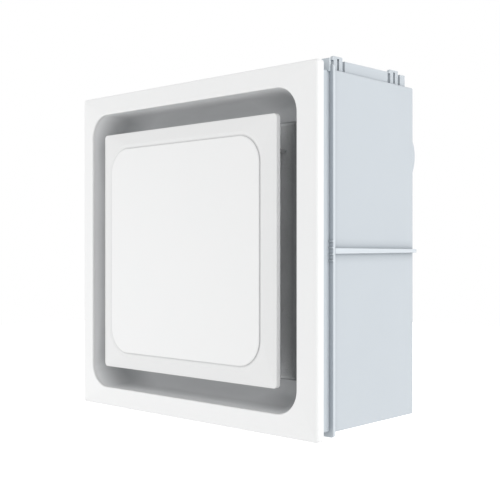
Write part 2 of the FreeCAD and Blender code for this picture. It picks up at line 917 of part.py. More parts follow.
def inlet_plate():
    size = box_inner - 2 * plate_clear
    plate = slab(size, size, plate_corner_r, plate_front_y, plate_back_y)
    plate = plate.cut(rod(rotor_hub, inlet_r + inlet_mouth_r, plate_front_y, plate_back_y))
    holes = [rod(place, boss_screw_r + hole_clear, plate_front_y, plate_back_y) for place in boss_places()]
    holes += [rod(place, post_screw_r + hole_clear, plate_front_y, plate_back_y) for place in post_places()]
    return plate.fuse(bell_mouth()).cut(holes)


def scroll_screws():
    return Part.makeCompound(
        [
            screw(place, boss_screw_r, boss_screw_head_r, plate_front_y, boss_screw_l, -1)
            for place in boss_places()
        ]
    )


def insert_screws():
    return Part.makeCompound(
        [
            screw(place, post_screw_r, post_screw_head_r, plate_front_y, post_screw_l, -1)
            for place in post_places()
        ]
    )


# Rotor


def blade(turn):
    """Forward-curved blade whose tip leads in the direction of rotation."""
    back = math.degrees(blade_t / impeller_r)
    middle_r = (blade_inner_r + impeller_r) / 2
    stations = [(blade_inner_r, 0.0), (middle_r, blade_mid_angle), (impeller_r, blade_sweep_angle)]
    lead = [polar(rotor_hub, radius, turn + sweep, impeller_front_y) for radius, sweep in stations]
    trail = [polar(rotor_hub, radius, turn + sweep - back, impeller_front_y) for radius, sweep in stations]
    edges = [
        Part.Arc(*lead).toShape(),
        Part.makeLine(lead[2], trail[2]),
        Part.Arc(*reversed(trail)).toShape(),
        Part.makeLine(trail[0], lead[0]),
    ]
    return Part.Face(Part.Wire(edges)).extrude(FreeCAD.Vector(0, disc_front_y - impeller_front_y, 0))


def impeller():
    hub = turned(
        [
            (impeller_r, disc_front_y),
            (impeller_r, impeller_back_y),
            (hub_r - hub_wall, impeller_back_y),
            (hub_r - hub_wall, hub_front_y + hub_wall),
            (shaft_r, hub_front_y + hub_wall),
            (shaft_r, hub_front_y + hub_wall - hub_boss_l),
            (hub_boss_r, hub_front_y + hub_wall - hub_boss_l),
            (hub_boss_r, hub_front_y),
            (hub_r - hub_wall, hub_front_y),
            (hub_r, hub_front_y + hub_wall),
            (hub_r, disc_front_y),
        ],
        rotor_hub,
    )
    rim = ring(rotor_hub, impeller_r, ring_inner_r, impeller_front_y, impeller_front_y + ring_t)
    blades = [blade(360 * step / blade_count) for step in range(blade_count)]
    return hub.multiFuse([rim] + blades)


def shaft_front_y():
    return hub_front_y + hub_wall - hub_boss_l - clip_ring_t


def impeller_clip():
    front_y = shaft_front_y()
    return ring(rotor_hub, clip_ring_r, shaft_r, front_y, front_y + clip_ring_t)


def motor_shaft():
    return rod(rotor_hub, shaft_r, shaft_front_y(), cap_back_y - bearing_seat_t - shaft_end_float)


def core_span():
    """Length of the lamination stacks along Y."""
    return (can_front_y + motor_wall + bearing_l + coil_t, cap_front_y - core_l_clear)


def rotor_core():
    return ring(rotor_hub, rotor_core_r, shaft_r, *core_span())


# Motor


def motor_can():
    seat_r = bearing_r + bearing_seat_t
    return turned(
        [
            (bearing_r, can_front_y),
            (motor_r, can_front_y),
            (motor_r, cap_front_y),
            (motor_r - motor_wall, cap_front_y),
            (motor_r - motor_wall, can_front_y + motor_wall),
            (seat_r, can_front_y + motor_wall),
            (seat_r, can_front_y + bearing_l),
            (bearing_r, can_front_y + bearing_l),
        ],
        rotor_hub,
    )


def motor_end_cap():
    spigot_r = motor_r - motor_wall - core_clear
    seat_r = bearing_r + bearing_seat_t
    seat_y = cap_back_y - bearing_seat_t - bearing_l
    cap = turned(
        [
            (0.0, cap_back_y),
            (motor_r, cap_back_y),
            (motor_r, cap_front_y),
            (spigot_r, cap_front_y),
            (spigot_r, cap_front_y - motor_wall),
            (spigot_r - motor_wall, cap_front_y - motor_wall),
            (spigot_r - motor_wall, cap_back_y - bearing_seat_t),
            (seat_r, cap_back_y - bearing_seat_t),
            (seat_r, seat_y),
            (bearing_r, seat_y),
            (bearing_r, cap_back_y - bearing_seat_t),
            (0.0, cap_back_y - bearing_seat_t),
        ],
        rotor_hub,
    )
    boss_front_y = cap_back_y - motor_screw_l - screw_tip_clear
    bosses = []
    holes = []
    for place in motor_screw_places():
        bosses.append(rod(place, motor_boss_r, boss_front_y, cap_back_y))
        holes.append(rod(place, motor_screw_r + screw_clear, boss_front_y, cap_back_y))
    return cap.multiFuse(bosses).cut(holes)


def front_bearing():
    return ring(rotor_hub, bearing_r, shaft_r + shaft_clear, can_front_y, can_front_y + bearing_l)


def rear_bearing():
    seat_y = cap_back_y - bearing_seat_t
    return ring(rotor_hub, bearing_r, shaft_r + shaft_clear, seat_y - bearing_l, seat_y)


def stator_core():
    outer_r = motor_r - motor_wall - core_clear
    span = core_span()
    yoke = ring(rotor_hub, outer_r, outer_r - yoke_t, *span)
    bore_r = rotor_core_r + air_gap
    teeth = [tooth(step, tooth_w, bore_r, outer_r - yoke_t / 2, *span) for step in range(tooth_count)]
    return yoke.multiFuse(teeth)


def tooth(step, width, inner_r, outer_r, y0, y1):
    """Radial bar between two radii, at one of the stator's stations."""
    bar = block(rotor_x, rotor_x + outer_r, y0, y1, rotor_z - width / 2, rotor_z + width / 2)
    bar = bar.cut(rod(rotor_hub, inner_r, y0, y1))
    bar.rotate(FreeCAD.Vector(rotor_x, 0, rotor_z), Y_AXIS, 360 * step / tooth_count)
    return bar


def stator_windings():
    outer_r = motor_r - motor_wall - core_clear - yoke_t - coil_clear
    inner_r = rotor_core_r + air_gap + coil_end_set
    y0, y1 = core_span()
    coils = []
    for step in range(tooth_count):
        coil = tooth(step, tooth_w + 2 * coil_t, inner_r, outer_r - coil_end_set, y0 - coil_t, y1 + coil_t)
        core_w = tooth_w + 2 * coil_clear
        core = tooth(step, core_w, rotor_core_r, motor_r, y0 - coil_clear, y1 + coil_clear)
        coils.append(coil.cut(core))
    return Part.makeCompound(coils)


def motor_screw_places():
    pitch = 360 / motor_screw_count
    return ring_places(rotor_hub, motor_screw_reach, motor_screw_angle, pitch, motor_screw_count)


def motor_bracket():
    bracket = rod(rotor_hub, bracket_ring_r, cap_back_y, bracket_back_y)
    for place in mount_places():
        arm_end = rod(place, bracket_arm_w / 2, cap_back_y, bracket_back_y)
        turn = math.degrees(math.atan2(place[1] - rotor_z, place[0] - rotor_x))
        arm = block(
            rotor_x,
            rotor_x + mount_reach,
            cap_back_y,
            bracket_back_y,
            rotor_z - bracket_arm_w / 2,
            rotor_z + bracket_arm_w / 2,
        )
        arm.rotate(FreeCAD.Vector(rotor_x, 0, rotor_z), Y_AXIS, -turn)
        bracket = bracket.fuse([arm, arm_end])
    holes = [rod(rotor_hub, bracket_hole_r, cap_back_y, bracket_back_y)]
    neck_r = mount_neck_r + screw_clear
    holes += [rod(place, neck_r, cap_back_y, bracket_back_y) for place in mount_places()]
    clear_r = motor_screw_r + hole_clear
    holes += [rod(place, clear_r, cap_back_y, bracket_back_y) for place in motor_screw_places()]
    return bracket.removeSplitter().cut(holes)


def motor_mounts():
    """Rubber bobbins that grip the ends of the bracket's arms."""
    bore_r = mount_screw_r + hole_clear
    mounts = []
    for place in mount_places():
        mounts.append(
            turned(
                [
                    (bore_r, cap_back_y - mount_flange_t),
                    (mount_r, cap_back_y - mount_flange_t),
                    (mount_r, cap_back_y),
                    (mount_neck_r, cap_back_y),
                    (mount_neck_r, bracket_back_y),
                    (mount_r, bracket_back_y),
                    (mount_r, bracket_back_y + mount_flange_t),
                    (bore_r, bracket_back_y + mount_flange_t),
                ],
                place,
            )
        )
    return Part.makeCompound(mounts)


def mount_screws():
    seat_y = bracket_back_y + mount_flange_t
    length = seat_y - scroll_floor_y - mount_screw_short
    return Part.makeCompound(
        [screw(place, mount_screw_r, mount_screw_head_r, seat_y, length, 1) for place in mount_places()]
    )


def motor_screws():
    length = bracket_t + motor_screw_l
    return Part.makeCompound(
        [
            screw(place, motor_screw_r, motor_screw_head_r, bracket_back_y, length, 1)
            for place in motor_screw_places()
        ]
    )


# Controls and wiring


def control_case():
    hub = (case_x, case_z)
    back = scroll_back_y + case_d
    case = slab(case_w, case_h, 2 * case_wall, scroll_back_y, back, hub)
    bay = slab(
        case_w - 2 * case_wall, case_h - 2 * case_wall, case_wall, scroll_back_y + case_wall, back, hub
    )
    return case.cut(bay)


def control_lid():
    hub = (case_x, case_z)
    back = scroll_back_y + case_d
    lid = slab(case_w, case_h, 2 * case_wall, back, back + lid_t, hub)
    plug_w = case_w - 2 * case_wall - 2 * board_clear
    plug_h = case_h - 2 * case_wall - 2 * board_clear
    plug = slab(plug_w, plug_h, case_wall / 2, back - lid_t, back, hub)
    well = slab(
        plug_w - 2 * case_wall, plug_h - 2 * case_wall, case_wall / 2, back - lid_t, back, hub
    )
    return lid.fuse(plug.cut(well))


def control_board():
    """Circuit board on the floor of its case, with a relay, a capacitor and a terminal strip."""
    y0 = scroll_back_y + case_wall
    y1 = y0 + board_t
    board_w = case_w - 2 * (case_wall + board_clear)
    board_h = case_h - 2 * (case_wall + board_clear)
    board = slab(board_w, board_h, case_wall, y0, y1, (case_x, case_z))
    relay = centred_block(case_x + relay_x, case_z + relay_z, relay_w, relay_h, y1, y1 + relay_d)
    strip = centred_block(case_x, case_z + strip_z, strip_w, strip_h, y1, y1 + strip_d)
    can = rod((case_x + capacitor_x, case_z + capacitor_z), capacitor_r, y1, y1 + capacitor_d)
    return board.multiFuse([relay, strip, can])


def terminal_places():
    pitch = terminal_w / terminal_ways
    return [terminal_x + pitch * (way - (terminal_ways - 1) / 2) for way in range(terminal_ways)]


def terminal_block():
    front = back_y - terminal_d
    well_y = front + terminal_screw_set + terminal_screw_l
    body = centred_block(terminal_x, terminal_z, terminal_w, terminal_h, front, back_y)
    holes = []
    for x in terminal_places():
        start = FreeCAD.Vector(x, (front + back_y) / 2, terminal_z - terminal_h / 2)
        holes.append(Part.makeCylinder(terminal_hole_r, terminal_h, start, FreeCAD.Vector(0, 0, 1)))
        for side in (-1, 1):
            hub = (x, terminal_z + side * terminal_h / 4)
            holes.append(rod(hub, terminal_screw_r + screw_clear, front, well_y))
    return body.cut(holes)


def terminal_screws():
    head_y = back_y - terminal_d + terminal_screw_set
    slot_y = head_y + terminal_slot_d
    screws = []
    for x in terminal_places():
        for side in (-1, 1):
            hub = (x, terminal_z + side * terminal_h / 4)
            body = rod(hub, terminal_screw_r, head_y, head_y + terminal_screw_l)
            slot = centred_block(*hub, 2 * terminal_screw_r, terminal_slot_w, head_y, slot_y)
            screws.append(body.cut(slot))
    return Part.makeCompound(screws)


def terminal_cover():
    """Cap over the live terminals, open below for the wires."""
    gap = terminal_cover_gap
    wall = terminal_cover_wall
    half_w = terminal_w / 2 + gap
    half_h = terminal_h / 2 + gap
    inside_y = back_y - terminal_d - terminal_headroom
    shell = block(
        terminal_x - half_w - wall,
        terminal_x + half_w + wall,
        inside_y - wall,
        back_y,
        terminal_z - half_h,
        terminal_z + half_h + wall,
    )
    bay = centred_block(terminal_x, terminal_z, 2 * half_w, 2 * half_h, inside_y, back_y)
    return shell.cut(bay)


def cable_grommet():
    """Rubber membrane grommet in the left wall."""
    neck_r = grommet_r - grommet_clear
    lip_r = grommet_r + grommet_lip
    half_outer = box_size / 2 - box_draft * (1 + grommet_y / box_depth)
    outside = -half_outer - grommet_clear
    inside = -box_inner / 2
    hole_r = neck_r - grommet_wall
    pieces = [
        cross_rod(lip_r, outside - grommet_lip_t, outside, grommet_y, grommet_z),
        cross_rod(neck_r, outside, inside, grommet_y, grommet_z),
        cross_rod(lip_r, inside, inside + grommet_lip_t, grommet_y, grommet_z),
    ]
    body = pieces[0].fuse(pieces[1:])
    inner_cup = cross_rod(
        hole_r, outside - grommet_lip_t + grommet_membrane_t, inside + grommet_lip_t, grommet_y, grommet_z
    )
    return body.cut(inner_cup)


PIECES = [
    cover_frame,
    intake_dish,
    dish_washers,
    front_panel,
    filter_grid,
    filter_mat,
    filter_tray,
    cover_clips,
    wall_box,
    plaster_collar,
    duct_spigot,
    spigot_gasket,
    spigot_screws,
    backdraft_flap,
    flap_shaft,
    scroll_case,
    inlet_plate,
    scroll_screws,
    insert_screws,
    impeller,
    impeller_clip,
    motor_shaft,
    rotor_core,
    motor_can,
    motor_end_cap,
    front_bearing,
    rear_bearing,
    stator_core,
    stator_windings,
    motor_bracket,
    motor_mounts,
    mount_screws,
    motor_screws,
    control_case,
    control_lid,
    control_board,
    terminal_block,
    terminal_screws,
    terminal_cover,
    cable_grommet,
]

os.makedirs("parts", exist_ok=True)
for make_piece in PIECES:
    make_piece().exportStep(os.path.join("parts", make_piece.__name__ + ".step"))
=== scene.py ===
import math

import bmesh
import bpy
from mathutils import Matrix, Vector, noise


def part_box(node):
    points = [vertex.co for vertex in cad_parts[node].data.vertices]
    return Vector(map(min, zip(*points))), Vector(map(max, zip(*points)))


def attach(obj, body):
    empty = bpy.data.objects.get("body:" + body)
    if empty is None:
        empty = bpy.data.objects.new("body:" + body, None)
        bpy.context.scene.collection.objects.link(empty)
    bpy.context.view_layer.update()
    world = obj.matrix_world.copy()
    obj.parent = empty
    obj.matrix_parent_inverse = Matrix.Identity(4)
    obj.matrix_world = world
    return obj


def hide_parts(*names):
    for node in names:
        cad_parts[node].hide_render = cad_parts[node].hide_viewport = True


# Looks of a flush-mounted radial duct fan. Metres, X to the right, Y into the wall, Z up.

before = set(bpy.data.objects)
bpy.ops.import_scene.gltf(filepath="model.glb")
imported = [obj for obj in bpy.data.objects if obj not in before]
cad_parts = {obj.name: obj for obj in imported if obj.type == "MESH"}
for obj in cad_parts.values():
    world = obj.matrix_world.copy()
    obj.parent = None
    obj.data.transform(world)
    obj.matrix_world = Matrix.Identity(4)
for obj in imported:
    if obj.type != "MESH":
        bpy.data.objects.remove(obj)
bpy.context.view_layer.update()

MM = 0.001

# Places of the pieces that the sizes below start from
cover_low, cover_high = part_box("cover_frame")
dish_low, dish_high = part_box("intake_dish")
panel_low, panel_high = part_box("front_panel")
_, box_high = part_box("wall_box")

# Sizes are in millimetres where no comment says otherwise

# Cover frame: its face falls back from the opening to its outer edge
COVER_CORNER = 2.5
COVER_EDGE = 2.4
COVER_FALL = 3.2
COVER_RIM = 2.5
COVER_RIM_FILLET = 0.5
COVER_BORDER = 16.5
OPENING_CORNER = 18.5
OPENING_LIP = 1.0
STUD_RADIUS = 2.0
STUD_LENGTH = 4.2
STUD_HEAD_RADIUS = 2.6
STUD_HEAD = 0.8

# Fillet of the small edges of the cover frame, the dish and the panel
SMALL_EDGE = 0.4

# Intake dish
DISH_WALL = 2.0
DISH_LEAN = 4.5
DISH_LEDGE = 16.0
DISH_BASE_CORNER = 26.0
DISH_BASE_FILLET = 8.0
WINDOW_CORNER = 1.5

# Front panel
PANEL_CORNER = 3.0
PANEL_EDGE = 4.0
PANEL_RIM = 2.0
PANEL_SKIN = 0.8
PANEL_WALL = 2.2
PANEL_SOFT = 0.6
BORDER_RISE = 3.4
CROWN_SOFT = 0.8
PAD_BORDER = 13.4
PAD_CORNER = 20.0
PAD_RISE = 0.6
PAD_SOFT = 0.9
PAD_HOLLOW_EDGE = 0.2
GROOVE_WIDTH = 0.6
GROOVE_SLOPE = 2.6
GROOVE_DEPTH = 0.6
# The border's greyer tone, which is painted shade, starts this far in front of its crown
BORDER_TONE = 0.1

# Legs of the panel: the lower pair stands one of the filter lattice's columns further in
LEG_WIDTH = 8.0
LEG_THICK = 1.6
LEG_EDGE = 0.2
LEG_BITE = 0.5
LEG_SIDE_INSET = 16.0
LEG_END_INSET = 24.0
LEG_COLUMNS = 4

# Filter fleece: its shoulder is the power of its rise in the window, and its fill is a share
FLEECE_GRID = 1.8
FLEECE_EDGE = 1.6
FLEECE_LUMP = 9.0
FLEECE_RELIEF = 0.5
FLEECE_CROWN = 4.0
FLEECE_SHOULDER = 140

# Loose fibres of the fleece: the bow is a share of the length, and the tilt is in radians
FIBRE_LENGTH = 14.0
FIBRE_RADIUS = 0.12
FIBRE_BOW = 0.2
FIBRE_TILT = 0.12
FIBRE_SPANS = 4
FIBRE_SIDES = 3
FIBRE_SEED = 7
FIBRES_PER_CM2 = 5.0
CM2_PER_M2 = 10000

# Impeller: a blade's middle and tip are turned about the hub by the mid turn and the sweep
BLADE_COUNT = 36
BLADE_DEPTH = 13.0
BLADE_THICK = 1.2
BLADE_MID_TURN = math.radians(1.2)
BLADE_SWEEP = math.radians(7.0)
BLADE_STATIONS = 10
BLADE_BITE = 0.5
RIM_EDGE = 0.4
HUB_EDGE = 0.8
RING_WIDTH = 11.0
RING_THICK = 2.0
DISC_THICK = 2.0
HUB_RADIUS = 36.0
HUB_WALL = 2.0
HUB_SET = 5.0
HUB_BOSS_RADIUS = 8.0
HUB_BOSS_LENGTH = 7.0
SHAFT_RADIUS = 4.0

# Screws and studs: the crown is a share of the head's radius
SCREW_HEAD = 2.0
SCREW_CROWN = 0.82
SCREW_RECESS = 1.0
SCREW_BEVEL = 0.25
SCREW_SEED = 3
HEAD_SIDES = 24
SHANK_SIDES = 16
# Shank radius of each set of screws, and the side that its heads face along Y
SCREW_SETS = {
    "scroll_screws": (1.45, -1),
    "insert_screws": (2.0, -1),
    "spigot_screws": (1.4, -1),
    "mount_screws": (2.0, 1),
    "motor_screws": (1.5, 1),
}

# Fineness of the meshes
CORNER_STEPS = 16
FILLET_STEPS = 5
DISH_STATIONS = 9
TURN_STEPS = 96
BEVEL_SEGMENTS = 2
SHARP_ANGLE = math.radians(40)
MERGE_GAP = 0.001
# A face whose normal has a lower Y than this faces the room
ROOM_FACING = -0.5

# Wear and painted highlight: their width, the cosine of a turn that is fully paled, and how far past the
# box's sides the painted highlight on proud parts starts
WEAR_HIGHLIGHT_WIDTH = 0.8
WEAR_HIGHLIGHT_TURN = 0.9
HIGHLIGHT_START = 1.6
# The box's ribs stand out this far past its sides
RIB_PROUD = 2.9
BOX_HIGHLIGHT_REACH = box_high.x / MM - RIB_PROUD + HIGHLIGHT_START

# Painted shade on the dish, behind a lit lip, and on the legs darkens between two places on Y
DISH_LIT_LIP = 6.0
DISH_SHADE_DEPTH = (dish_low.y / MM + DISH_LIT_LIP, dish_high.y / MM)
LEG_SHADE_DEPTH = (panel_low.y / MM + PAD_RISE + BORDER_RISE + PANEL_EDGE, dish_high.y / MM)
# In the dish's corners the painted shade is darker between these radii from the middle, and reaches further
# towards the lip
DISH_CORNERS = (122.0, 142.0)
DISH_CORNER_LEAD = 5.0
# Painted shade on the fleece darkens between these distances from the middle along X, towards its sides
FLEECE_SHADE_REACH = (73.0, 90.0)

# Patterns in the finishes
CLOUD_SIZE = 45.0
TANGLE_SIZE = 4.0
TANGLE_RELIEF = 0.6
BAND_RELIEF = 0.15
TRACK_PITCH = 8.0
# Period of a wave texture at a scale of 1
WAVE_PERIOD = math.pi / 10

# Typical values of the finishes: how far the gloss varies, how strong the grain is, the plastics' IOR
PLASTIC_GLOSS_SPREAD = 0.06
PLASTIC_GRAIN = 0.5
PLASTIC_IOR = 1.53
METAL_GLOSS_SPREAD = 0.1
METAL_GRAIN = 0.6

# Studio, in metres and watts; the lens is in millimetres
FLOOR_Z = -0.6
FLOOR_HALF = 6.0
FLOOR_GLOW = 0.6
CAMERA_PLACE = Vector((528.4, -608.5, 0.65)) * MM
CAMERA_TURN = math.radians(43.385)
CAMERA_LENS = 67.26
# Strength of the light from all round, and the share that it loses straight above and below
AMBIENT = 1.12
DIMMING = 0.42
# Place, size and power of each soft box, and the point that they all face
SOFT_BOXES = {
    "front_light": ((-0.9, -0.8, -0.1), 0.6, 1.6),
    "side_light": ((1.9, 0.75, 0.3), 1.2, 9.0),
    "fill_light": ((1.3, -0.9, 0.0), 0.8, 1.6),
}
AIM = Vector((0.0, -0.08, 0.0))

# Sockets of a colour Mix node, which share their names with others
MIX_A = 6
MIX_B = 7
MIX_OUT = 2


# Shader nodes


def linear(code):
    """Linear RGBA of an sRGB hex colour."""
    shares = [int(code[i : i + 2], 16) / 255 for i in (0, 2, 4)]
    return (*[s / 12.92 if s <= 0.04045 else ((s + 0.055) / 1.055) ** 2.4 for s in shares], 1.0)


def per_metre(size):
    """Texture scale for a pattern of this size in millimetres."""
    return 1 / (size * MM)


def add(tree, kind, links=None, **settings):
    """Adds a node: settings are its properties, links are sockets, values or hex colours for its inputs."""
    made = tree.nodes.new(kind)
    for name, value in settings.items():
        setattr(made, name, value)
    for name, sources in (links or {}).items():
        for source in sources if isinstance(sources, list) else [sources]:
            if isinstance(source, bpy.types.NodeSocket):
                tree.links.new(source, made.inputs[name])
            else:
                made.inputs[name].default_value = linear(source) if isinstance(source, str) else source
    return made


def blank(name):
    """New material with an empty tree, and the place on the piece that its patterns follow."""
    material = bpy.data.materials.new(name)
    material.use_nodes = True
    tree = material.node_tree
    tree.nodes.clear()
    return material, tree, add(tree, "ShaderNodeTexCoord").outputs["Object"]


def surface(tree, links):
    """Ends a material's tree in its shader, with these inputs, and its output."""
    shader = add(tree, "ShaderNodeBsdfPrincipled", links)
    add(tree, "ShaderNodeOutputMaterial", {"Surface": shader.outputs["BSDF"]})


# Materials


def wear_and_highlight_share(tree, place, proud):
    """Share of wear and painted highlight: wear on turned edges, painted highlight on what stands out past
    proud millimetres from the middle.
    """
    facing = add(tree, "ShaderNodeNewGeometry")
    rounded = add(tree, "ShaderNodeBevel", {"Radius": WEAR_HIGHLIGHT_WIDTH * MM}, samples=8)
    turn = add(
        tree,
        "ShaderNodeVectorMath",
        {0: facing.outputs["Normal"], 1: rounded.outputs["Normal"]},
        operation="DOT_PRODUCT",
    )
    turned = add(
        tree,
        "ShaderNodeMapRange",
        {"Value": turn.outputs["Value"], "From Min": 1.0, "From Max": WEAR_HIGHLIGHT_TURN},
    )
    across = add(tree, "ShaderNodeVectorMath", {0: place}, operation="ABSOLUTE")
    reach = add(tree, "ShaderNodeSeparateXYZ", {"Vector": across.outputs["Vector"]})
    stands = add(
        tree,
        "ShaderNodeMapRange",
        {"Value": reach.outputs["X"], "From Min": proud * MM, "From Max": (proud + WEAR_HIGHLIGHT_WIDTH) * MM},
    )
    most = add(
        tree,
        "ShaderNodeMath",
        {0: turned.outputs["Result"], 1: stands.outputs["Result"]},
        operation="MAXIMUM",
    )
    return most.outputs[0]


def corner_shade_share(tree, place, ring):
    """Share of the darker painted shade in the corners, which grows between two radii from the middle."""
    flat = add(tree, "ShaderNodeVectorMath", {0: place, 1: (1, 0, 1)}, operation="MULTIPLY")
    radius = add(tree, "ShaderNodeVectorMath", {0: flat.outputs["Vector"]}, operation="LENGTH")
    share = add(
        tree,
        "ShaderNodeMapRange",
        {"Value": radius.outputs["Value"], "From Min": ring[0] * MM, "From Max": ring[1] * MM},
    )
    return share.outputs["Result"]


def moulded(
    name,
    colour,
    shade,
    roughness,
    grit,
    relief,
    edge,
    wear_and_highlight=None,
    proud=0,
    painted_shade=None,
    corner=0,
    depth=None,
    ring=None,
    corner_shade=None,
    corner_lead=0,
):
    """Moulded plastic: a cloudy tone, an eroded grain and soft edges.

    Wear and painted highlight pale its edges and what stands out past proud millimetres from the middle.
    Painted shade darkens its inner corners, up to corner millimetres wide, or its depth between two places
    on Y.
    There the painted shade is darker between two radii from the middle, and starts corner_lead millimetres
    sooner.
    """
    material, tree, place = blank(name)
    cloud = add(
        tree,
        "ShaderNodeTexNoise",
        {"Vector": place, "Scale": per_metre(CLOUD_SIZE), "Detail": 3.0},
    )
    grain = add(tree, "ShaderNodeTexNoise", {"Vector": place, "Scale": per_metre(grit), "Detail": 4.0})
    links = {"Factor": cloud.outputs["Fac"], MIX_A: colour, MIX_B: shade}
    tone = add(tree, "ShaderNodeMix", links, data_type="RGBA").outputs[MIX_OUT]
    # Wear and painted highlight pale the tone
    if wear_and_highlight:
        links = {"Factor": wear_and_highlight_share(tree, place, proud), MIX_A: tone, MIX_B: wear_and_highlight}
        tone = add(tree, "ShaderNodeMix", links, data_type="RGBA").outputs[MIX_OUT]
    # Painted shade: ambient occlusion darkens the tone in inner corners
    if corner:
        clear = add(tree, "ShaderNodeAmbientOcclusion", {"Distance": corner * MM}, samples=6)
        links = {"Factor": clear.outputs["AO"], MIX_A: painted_shade, MIX_B: tone}
        tone = add(tree, "ShaderNodeMix", links, data_type="RGBA").outputs[MIX_OUT]
    # Painted shade: the tone darkens deeper along Y, and in the corners it is darker and starts sooner
    if depth:
        along = add(tree, "ShaderNodeSeparateXYZ", {"Vector": place})
        back = along.outputs["Y"]
        if ring:
            in_corner = corner_shade_share(tree, place, ring)
            links = {"Factor": in_corner, MIX_A: painted_shade, MIX_B: corner_shade}
            painted_shade = add(tree, "ShaderNodeMix", links, data_type="RGBA").outputs[MIX_OUT]
            links = {0: in_corner, 1: corner_lead * MM, 2: back}
            back = add(tree, "ShaderNodeMath", links, operation="MULTIPLY_ADD").outputs[0]
        share = add(
            tree,
            "ShaderNodeMapRange",
            {"Value": back, "From Min": depth[0] * MM, "From Max": depth[1] * MM},
        )
        links = {"Factor": share.outputs["Result"], MIX_A: tone, MIX_B: painted_shade}
        tone = add(tree, "ShaderNodeMix", links, data_type="RGBA").outputs[MIX_OUT]
    gloss = add(
        tree,
        "ShaderNodeMapRange",
        {
            "Value": grain.outputs["Fac"],
            "To Min": roughness - PLASTIC_GLOSS_SPREAD,
            "To Max": roughness + PLASTIC_GLOSS_SPREAD,
        },
    )
    soft = add(tree, "ShaderNodeBevel", {"Radius": edge * MM}, samples=4)
    bump = add(
        tree,
        "ShaderNodeBump",
        {
            "Height": grain.outputs["Fac"],
            "Distance": relief * MM,
            "Strength": PLASTIC_GRAIN,
            "Normal": soft.outputs["Normal"],
        },
    )
    surface(
        tree,
        {
            "Base Color": tone,
            "Roughness": gloss.outputs["Result"],
            "IOR": PLASTIC_IOR,
            "Normal": bump.outputs["Normal"],
        },
    )
    return material


def bare_metal(name, colour, shade, roughness, grain_size, stretch, relief):
    """Metal with a grain that is stretched along one axis, as rolling, plating or casting leaves it."""
    material, tree, place = blank(name)
    along = add(tree, "ShaderNodeMapping", {"Vector": place, "Scale": stretch})
    grain = add(
        tree,
        "ShaderNodeTexNoise",
        {"Vector": along.outputs["Vector"], "Scale": per_metre(grain_size), "Detail": 5.0},
    )
    links = {"Factor": grain.outputs["Fac"], MIX_A: colour, MIX_B: shade}
    tone = add(tree, "ShaderNodeMix", links, data_type="RGBA").outputs[MIX_OUT]
    gloss = add(
        tree,
        "ShaderNodeMapRange",
        {
            "Value": grain.outputs["Fac"],
            "To Min": roughness - METAL_GLOSS_SPREAD,
            "To Max": roughness + METAL_GLOSS_SPREAD,
        },
    )
    bump = add(
        tree,
        "ShaderNodeBump",
        {"Height": grain.outputs["Fac"], "Distance": relief * MM, "Strength": METAL_GRAIN},
    )
    surface(
        tree,
        {
            "Base Color": tone,
            "Metallic": 1.0,
            "Roughness": gloss.outputs["Result"],
            "Normal": bump.outputs["Normal"],
        },
    )
    return material


def banded(name, colour, shade, pitch, axis, metallic, roughness):
    """Stacked sheets or laid wire: fine bands across one axis, with a groove between them."""
    material, tree, place = blank(name)
    bands = add(
        tree,
        "ShaderNodeTexWave",
        {"Vector": place, "Scale": WAVE_PERIOD / (pitch * MM), "Distortion": 0.4, "Detail": 2.0},
        bands_direction=axis,
    )
    links = {"Factor": bands.outputs["Fac"], MIX_A: shade, MIX_B: colour}
    tone = add(tree, "ShaderNodeMix", links, data_type="RGBA").outputs[MIX_OUT]
    bump = add(tree, "ShaderNodeBump", {"Height": bands.outputs["Fac"], "Distance": BAND_RELIEF * MM})
    surface(
        tree,
        {
            "Base Color": tone,
            "Metallic": metallic,
            "Roughness": roughness,
            "Normal": bump.outputs["Normal"],
        },
    )
    return material


def fleece():
    """Thermally bonded polyester fleece: tangled pale fibres, dull, with painted shade that darkens it
    towards its sides along X.
    """
    material, tree, place = blank("polyester_fleece")
    tangle = add(
        tree,
        "ShaderNodeTexNoise",
        {"Vector": place, "Scale": per_metre(TANGLE_SIZE), "Detail": 6.0, "Distortion": 2.5},
    )
    # Painted shade: darker towards the sides along X
    along = add(tree, "ShaderNodeSeparateXYZ", {"Vector": place})
    reach = add(tree, "ShaderNodeMath", {0: along.outputs["X"]}, operation="ABSOLUTE")
    side_shade = add(
        tree,
        "ShaderNodeMapRange",
        {
            "Value": reach.outputs[0],
            "From Min": FLEECE_SHADE_REACH[0] * MM,
            "From Max": FLEECE_SHADE_REACH[1] * MM,
        },
    )
    links = {"Factor": tangle.outputs["Fac"], MIX_A: "E0E2E4", MIX_B: "F6F7F8"}
    fibre_tone = add(tree, "ShaderNodeMix", links, data_type="RGBA").outputs[MIX_OUT]
    links = {"Factor": side_shade.outputs["Result"], MIX_A: fibre_tone, MIX_B: "7E8081"}
    tone = add(tree, "ShaderNodeMix", links, data_type="RGBA").outputs[MIX_OUT]
    bump = add(tree, "ShaderNodeBump", {"Height": tangle.outputs["Fac"], "Distance": TANGLE_RELIEF * MM})
    surface(
        tree,
        {
            "Base Color": tone,
            "Roughness": 0.95,
            "Sheen Weight": 0.4,
            "Sheen Roughness": 0.6,
            "Normal": bump.outputs["Normal"],
        },
    )
    return material


